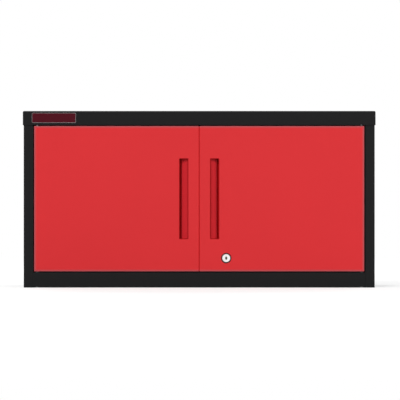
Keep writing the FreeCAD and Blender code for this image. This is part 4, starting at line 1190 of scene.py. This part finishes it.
@dataclass(frozen=True)
class DoorLock(Assembly):
    """The cam lock of the right door.

    Attributes:
        x: Its axis.
        z: Its axis.
        bezel_radius: Of the ring in front of the door.
        gasket_radius: Of the sealing ring round the bezel.
        gasket_sheet: Thickness of the sealing ring.
        gasket_lip: Width of the sealing ring's rounded edge.
        keyhole_height: Of the keyhole.
        keyhole_width: Of the keyhole.
        keyhole_depth: Of the keyhole.
        guard: How far the dark guard of painted keyhole shade reaches past the keyhole, at its sides and at
            its ends.
        guard_sheet: Thickness of its face.
        lining: How far it narrows the keyhole, and thickness of its floor.
        guard_gap: From its lining to the plug.
        wafer_count: The number of wafers.
        wafer_first: From the plug's face to the first wafer.
        wafer_pitch: From wafer to wafer.
        wafer_sheet: Thickness of a wafer.
        wafer_reach: How much of a wafer shows.
        screw: The screw that holds the cam.
    """

    x: float = LOCK_AXIS[0]
    z: float = LOCK_AXIS[1]
    bezel_radius: float = 11.4
    gasket_radius: float = 14.6
    gasket_sheet: float = 0.5
    gasket_lip: float = 0.5
    keyhole_height: float = 7.6
    keyhole_width: float = 2.6
    keyhole_depth: float = 9.0
    guard: tuple[float, float] = (1.4, 0.4)
    guard_sheet: float = 0.18
    lining: float = 0.3
    guard_gap: float = 0.02
    wafer_count: int = 5
    wafer_first: float = 1.6
    wafer_pitch: float = 1.2
    wafer_sheet: float = 0.45
    wafer_reach: float = 1.3
    screw: CrossScrew = CrossScrew(9.0, 2.4, 4.0, 7.7)

    def make(self) -> None:
        """Dresses the lock, and makes its gasket, a dark guard of painted keyhole shade, wafers and cam
        screw.
        """
        self.shop.dress(LOCK_CHROME, "lock_barrel", "lock_plug")
        self.shop.dress(ZINC, "lock_nut", "lock_cam")
        self.gasket()
        self.painted_shade_guard()
        self.wafers()
        seat = Seat(self.x, extent("lock_cam")[1][1], self.z, Facing.REAR)
        screw = self.screw.mesh(self.shop, seat)
        self.shop.fit("cam_screw_cross", [screw], Body.LOCK, ZINC, ["cam_screw"])

    def plug_seat(self, behind: float = 0.0, above: float = 0.0) -> Seat:
        """A seat on the face of the plug, or behind it and above its axis."""
        return Seat(self.x, extent("lock_plug")[0][1] + behind, self.z + above, Facing.FRONT)

    def gasket(self) -> None:
        """Makes the dark sealing ring that shows round the bezel."""
        seat = Seat(self.x, FRONT, self.z, Facing.FRONT)
        inside, outside = self.bezel_radius, self.gasket_radius
        sheet, edge = self.gasket_sheet, self.gasket_lip
        rings = [
            Ring(inside, 0), Ring(outside, 0), Ring(outside, sheet * 0.5),
            Ring(outside - edge / 2, sheet * 0.9), Ring(outside - edge, sheet),
            Ring(inside, sheet), Ring(inside, 0),
        ]
        self.shop.fit("lock_gasket", [Blank(seat).turn(rings, steps=64).mesh()], Body.RIGHT_DOOR, RUBBER)

    def painted_shade_guard(self) -> None:
        """Makes the dark guard that frames the keyhole and lines it: painted shade in and round the
        keyhole.
        """
        width, height, deep = self.keyhole_width, self.keyhole_height, self.keyhole_depth
        gap, lining, flat, steps = self.guard_gap, self.lining, 0.2, 8
        hole = rounded_rectangle(width - lining, height - lining, width / 2 - flat, steps)
        edge = rounded_rectangle(width - gap, height - gap, width / 2 - gap, steps)
        aside, past = self.guard
        outside = rounded_rectangle(width + 2 * aside, height + 2 * past, width / 2 + aside - flat, steps)
        blank = Blank(self.plug_seat()).band(outside, hole, 0.0, self.guard_sheet)
        blank.band(edge, hole, lining - deep, 0.0).plate(edge, gap - deep, lining - deep)
        # A dark piece that paints the shade in and round the keyhole.
        self.shop.fit("keyhole_painted_shade_guard", [blank.mesh()], Body.LOCK, RUBBER)

    def wafers(self) -> None:
        """Makes the brass wafers that show in turn at the top and foot of the keyhole."""
        gap, corner = 0.2, 0.4
        outline = rounded_rectangle(self.keyhole_width - 2 * gap, self.wafer_reach, corner, steps=3)
        level = self.keyhole_height / 2 - self.wafer_reach / 2 - gap
        made = []
        for place in range(self.wafer_count):
            behind = self.wafer_first + self.wafer_pitch * place
            seat = self.plug_seat(behind, level if place % 2 else -level)
            made.append(Blank(seat).plate(outline, -self.wafer_sheet, 0.0).mesh())
        self.shop.fit("keyway_wafers", made, Body.LOCK, WAFER_BRASS)


@dataclass(frozen=True)
class SlideBolt(Assembly):
    """The slide bolt inside the left door.

    Attributes:
        x: The rod's axis.
        y: The rod's axis.
        knob_z: Height of the knob.
        stem_radius: Of the knob's stem.
        collar: Where the knob starts, from the rod's axis.
        knob_radius: Of the knob.
        knob_height: Of the knob.
        flutes: Grooves round the knob.
        flute: Depth of a groove.
        plain: How far from the knob's ends the grooves start.
        foot: The knob's rings at the collar, as insets from its radius and as heights.
        crown: Its rings at the other end, as insets and as depths from that end.
        dimple: Depth of the end's middle.
        slack: From the rod's axis to the stem's end.
        guide_sheet: Thickness of the guide, under its screws.
        screw_levels: Heights of the guide's screws.
        screw: A screw of the guide.
    """

    x: float = middle("bolt_rod")[0]
    y: float = -116.25
    knob_z: float = 102.0
    stem_radius: float = 2.25
    collar: float = 7.0
    knob_radius: float = 6.0
    knob_height: float = 8.0
    flutes: int = 16
    flute: float = 0.7
    plain: float = 2.0
    foot: tuple[Point, ...] = ((1.5, 0.0), (0.6, 0.3), (0.0, 1.1), (0.0, 1.6))
    crown: tuple[Point, ...] = ((0.0, 1.6), (0.2, 1.0), (0.7, 0.4), (1.5, 0.1), (2.4, 0.0), (3.2, 0.4))
    dimple: float = 0.6
    slack: float = 0.1
    guide_sheet: float = 2.0
    screw_levels: tuple[float, ...] = (76.0, 110.0)
    screw: CrossScrew = CrossScrew(6.0, 1.8, 3.0, 4.4)

    def make(self) -> None:
        """Dresses the bolt, and makes its fluted knob and its screws."""
        self.shop.dress(ZINC, "bolt_guide", "bolt_rod")
        self.knob()
        face = extent("bolt_guide")[0][1] + self.guide_sheet
        seats = [Seat(self.x, face, z, Facing.REAR) for z in self.screw_levels]
        screws = [self.screw.mesh(self.shop, seat) for seat in seats]
        self.shop.fit("guide_screws_cross", screws, Body.LEFT_DOOR, ZINC, ["bolt_guide_screws"])

    def knob(self) -> None:
        """Makes the knob with flutes for the fingers."""
        low, high = self.collar, self.collar + self.knob_height
        radius, stem = self.knob_radius, self.stem_radius
        rings = [Ring(0, self.slack), Ring(stem, self.slack), Ring(stem, low)]
        rings += [Ring(radius - inset, low + rise) for inset, rise in self.foot]
        rings += [Ring(radius, level, self.flute) for level in (low + self.plain, high - self.plain)]
        rings += [Ring(radius - inset, high - drop) for inset, drop in self.crown]
        rings.append(Ring(0, high - self.dimple))
        seat = Seat(self.x, self.y, self.knob_z, Facing.REAR)
        blank = Blank(seat).turn(rings, steps=96, flutes=self.flutes)
        self.shop.fit("fluted_knob", [blank.mesh()], Body.BOLT, NYLON, ["bolt_knob"])


@dataclass(frozen=True)
class Catches(Assembly):
    """The magnetic catches and the rubber bumpers behind the doors.

    Attributes:
        offset: Middle of the cabinet to a catch.
        face: The front of the magnets.
        level: Middle height of the magnets.
        magnet_width: Of a magnet.
        magnet_height: Of a magnet with its pole plates.
        magnet_depth: Of a magnet.
        inset: From the poles' ends and faces to those of the magnet between them.
        pole: Thickness of a pole plate.
        tab_face: The rear face of a catch's tab, under its screws.
        screw_places: X of the screws on the right.
        screw_level: Height of the screws.
        screw: One of the screws.
    """

    offset: float = 70.0
    face: float = extent("catch_magnets")[0][1]
    level: float = middle("catch_magnets")[2]
    magnet_width: float = 32.0
    magnet_height: float = 7.0
    magnet_depth: float = 8.0
    inset: float = 0.3
    pole: float = 1.2
    tab_face: float = -121.75
    screw_places: tuple[float, ...] = (55.0, 85.0)
    screw_level: float = 458.0
    screw: CrossScrew = CrossScrew(6.0, 1.8, 3.0, 3.0)

    def make(self) -> None:
        """Dresses the catches and bumpers, and makes the magnets and screws."""
        self.shop.dress(CATCH_PLASTIC, "catch_housings")
        self.shop.dress(RUBBER, "door_bumpers")
        bars, poles, screws = [], [], []
        core = self.magnet_height - 2 * self.pole
        bar = rounded_rectangle(self.magnet_width - 2 * self.inset, core, radius=0.2, steps=2)
        pole = rounded_rectangle(self.magnet_width, self.pole, radius=0.3, steps=2)
        for side in (-1, 1):
            middle = side * self.offset
            seat = Seat(middle, self.face, self.level, Facing.FRONT)
            bars.append(Blank(seat).plate(bar, -self.magnet_depth, -self.inset).mesh())
            for up in (-1, 1):
                seat = Seat(middle, self.face, self.level + up * (core + self.pole) / 2, Facing.FRONT)
                poles.append(Blank(seat).plate(pole, -self.magnet_depth, 0.0).mesh())
            for x in self.screw_places:
                seat = Seat(side * x, self.tab_face, self.screw_level, Facing.REAR)
                screws.append(self.screw.mesh(self.shop, seat))
        self.shop.fit("ferrite_bars", bars, Body.CARCASS, FERRITE, ["catch_magnets"])
        self.shop.fit("pole_plates", poles, Body.CARCASS, POLE_STEEL)
        self.shop.fit("catch_screws_cross", screws, Body.CARCASS, ZINC, ["catch_screws"])


# The studio


@dataclass(frozen=True)
class Softbox:
    """A soft square lamp that looks at the cabinet.

    Attributes:
        name: Of the lamp.
        azimuth: Degrees round the cabinet, 0 in front and 90 on its right.
        height: Degrees above the horizon.
        level: The share of its full colour that the lamp alone gives a surface facing it.
        distance: In metres.
        side: Of the square, in metres.
    """

    name: str
    azimuth: float
    height: float
    level: float
    distance: float = 4.0
    side: float = 2.2

    def hang(self, target: Vector) -> None:
        """Adds the lamp.

        Args:
            target: Where it looks.
        """
        turn, tilt = math.radians(self.azimuth), math.radians(self.height)
        back = Vector((math.sin(turn) * math.cos(tilt), -math.cos(turn) * math.cos(tilt), math.sin(tilt)))
        data = bpy.data.lights.new(self.name, "AREA")
        data.shape, data.size = "SQUARE", self.side
        data.energy = self.level * math.pi ** 2 * self.distance ** 2
        lamp = bpy.data.objects.new(self.name, data)
        lamp.location = target + back * self.distance
        lamp.rotation_euler = (-back).to_track_quat("-Z", "Y").to_euler()
        bpy.context.scene.collection.objects.link(lamp)


@dataclass(frozen=True)
class Studio:
    """The pale floor, the white surround, the lamps and the camera.

    Attributes:
        view_width: What the picture spans at the cabinet's front, in metres.
        view_x: The camera's place across.
        view_z: The camera's height.
        view_distance: From the camera to the front.
        surround: Light from all round on a surface.
        camera_side: How bright a mirror sees the camera's side, against a white of 1.
        camera_turn: How far to the front, as a direction, it sees that side and then only white.
        floor_colour: The floor's paint.
        floor_glow: What a look at the floor adds, so that it is white where no shadow falls.
        floor_reach: Where the lamps' light on the floor starts to fade, in metres, and where it ends, from
            where a look at the floor is plain white.
        floor_radius: In metres.
        floor_drop: From the cabinet's underside to the floor, in metres.
        lamps: The lamps.
    """

    view_width: float = 1.1393
    view_x: float = 0.0023
    view_z: float = 0.2494
    view_distance: float = 8.0
    surround: float = 0.50
    camera_side: float = 0.35
    camera_turn: tuple[float, float] = (-0.5, 0.4)
    floor_colour: float = 0.47
    floor_glow: float = 0.50
    floor_reach: tuple[float, float] = (1.2, 4.5)
    floor_radius: float = 40.0
    floor_drop: float = 0.0002
    lamps: tuple[Softbox, ...] = (
        Softbox("key_left", -24, 40, 0.575, 8.0, 3.5),
        Softbox("fill_right", 36, 20, 0.225),
        Softbox("rear_left", -150, 40, 0.40),
        Softbox("rear_right", 142, 30, 0.34),
    )

    def make(self) -> None:
        """Sets up the studio."""
        bpy.context.scene.view_settings.view_transform = "Standard"
        self.camera()
        self.surroundings()
        self.floor()
        for lamp in self.lamps:
            lamp.hang(Vector((0, 0, self.view_z)))

    def camera(self) -> None:
        """Stands the camera straight in front, with a long lens."""
        data = bpy.data.cameras.new("camera")
        data.sensor_width = 36.0
        data.lens = data.sensor_width * self.view_distance / self.view_width
        data.clip_end = 200.0
        camera = bpy.data.objects.new("camera", data)
        camera.location = (self.view_x, FRONT * MM - self.view_distance, self.view_z)
        camera.rotation_euler = (math.radians(90), 0, 0)
        bpy.context.scene.collection.objects.link(camera)
        bpy.context.scene.camera = camera

    def seen(self, recipe: Recipe) -> tuple[Amount, Amount]:
        """Tells the rays that look from those that light.

        Args:
            recipe: Of the surround or the floor.

        Returns:
            1 for the camera's own rays, and 1 for those by way of a mirror or through glass.
        """
        rays = recipe.add("ShaderNodeLightPath").outputs
        mirrored = recipe.number(rays["Is Glossy Ray"]).most(recipe.number(rays["Is Transmission Ray"]))
        return recipe.number(rays["Is Camera Ray"]), mirrored

    def surroundings(self) -> None:
        """Makes the surround: white to look at, dimmer towards the camera in a mirror, an even light."""
        world = bpy.data.worlds.new("white_surround")
        world.use_nodes = True
        bpy.context.scene.world = world
        recipe = Recipe(world.node_tree)
        looking, mirrored = self.seen(recipe)
        behind = recipe.axes(recipe.place())[1].rising(*self.camera_turn)
        mirror = behind * (1 - self.camera_side) + self.camera_side
        strength = (mirror * mirrored + (1 - mirrored) * self.surround) * (1 - looking) + looking
        light = recipe.add("ShaderNodeBackground", sockets={"Color": (1, 1, 1), "Strength": strength})
        recipe.add("ShaderNodeOutputWorld", sockets={"Surface": light.outputs["Background"]})

    def floor(self) -> None:
        """Lays a wide round floor that is white to look at and keeps the cabinet's shadow."""
        form = bmesh.new()
        bmesh.ops.create_circle(form, cap_ends=True, segments=96, radius=self.floor_radius)
        mesh = bpy.data.meshes.new("studio_floor")
        form.to_mesh(mesh)
        form.free()
        ground = bpy.data.objects.new("studio_floor", mesh)
        ground.location.z = -self.floor_drop
        bpy.context.scene.collection.objects.link(ground)
        material = bpy.data.materials.new("pale_floor")
        material.use_nodes = True
        recipe = Recipe(material.node_tree)
        looking, mirrored = self.seen(recipe)
        away = recipe.vector("LENGTH", Vector=recipe.place()).outputs["Value"]
        far = recipe.number(away).rising(*self.floor_reach)
        look = looking.most(mirrored)
        dull = recipe.add("ShaderNodeBsdfDiffuse", sockets={"Color": (self.floor_colour,) * 3})
        glow = recipe.add("ShaderNodeEmission", sockets={"Strength": look * self.floor_glow})
        near = recipe.add("ShaderNodeAddShader", sockets={
            "Shader": dull.outputs["BSDF"], "Shader_001": glow.outputs["Emission"]
        })
        white = recipe.add("ShaderNodeEmission", sockets={"Strength": 1.0})
        both = recipe.add("ShaderNodeMixShader", sockets={
            "Fac": look * far, "Shader": near.outputs["Shader"], "Shader_001": white.outputs["Emission"]
        })
        recipe.add("ShaderNodeOutputMaterial", sockets={"Surface": both.outputs["Shader"]})
        mesh.materials.append(material)
        ground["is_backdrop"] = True


def write_sizes() -> None:
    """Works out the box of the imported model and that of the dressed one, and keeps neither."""
    boxes = {"cad": cad_box, "visual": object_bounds()}
    {name: [list(corner) for corner in box] for name, box in boxes.items()}


def main() -> None:
    """Builds the studio and every part of the cabinet."""
    logging.basicConfig(level=logging.INFO, format="%(message)s")
    Studio().make()
    shop = Workshop()
    for part in (Carcass, TopCover, Doors, DoorLock, SlideBolt, Catches):
        part(shop).make()
        log.info("%s is done", part.__name__)
    write_sizes()


if __name__ == "__main__":
    main()
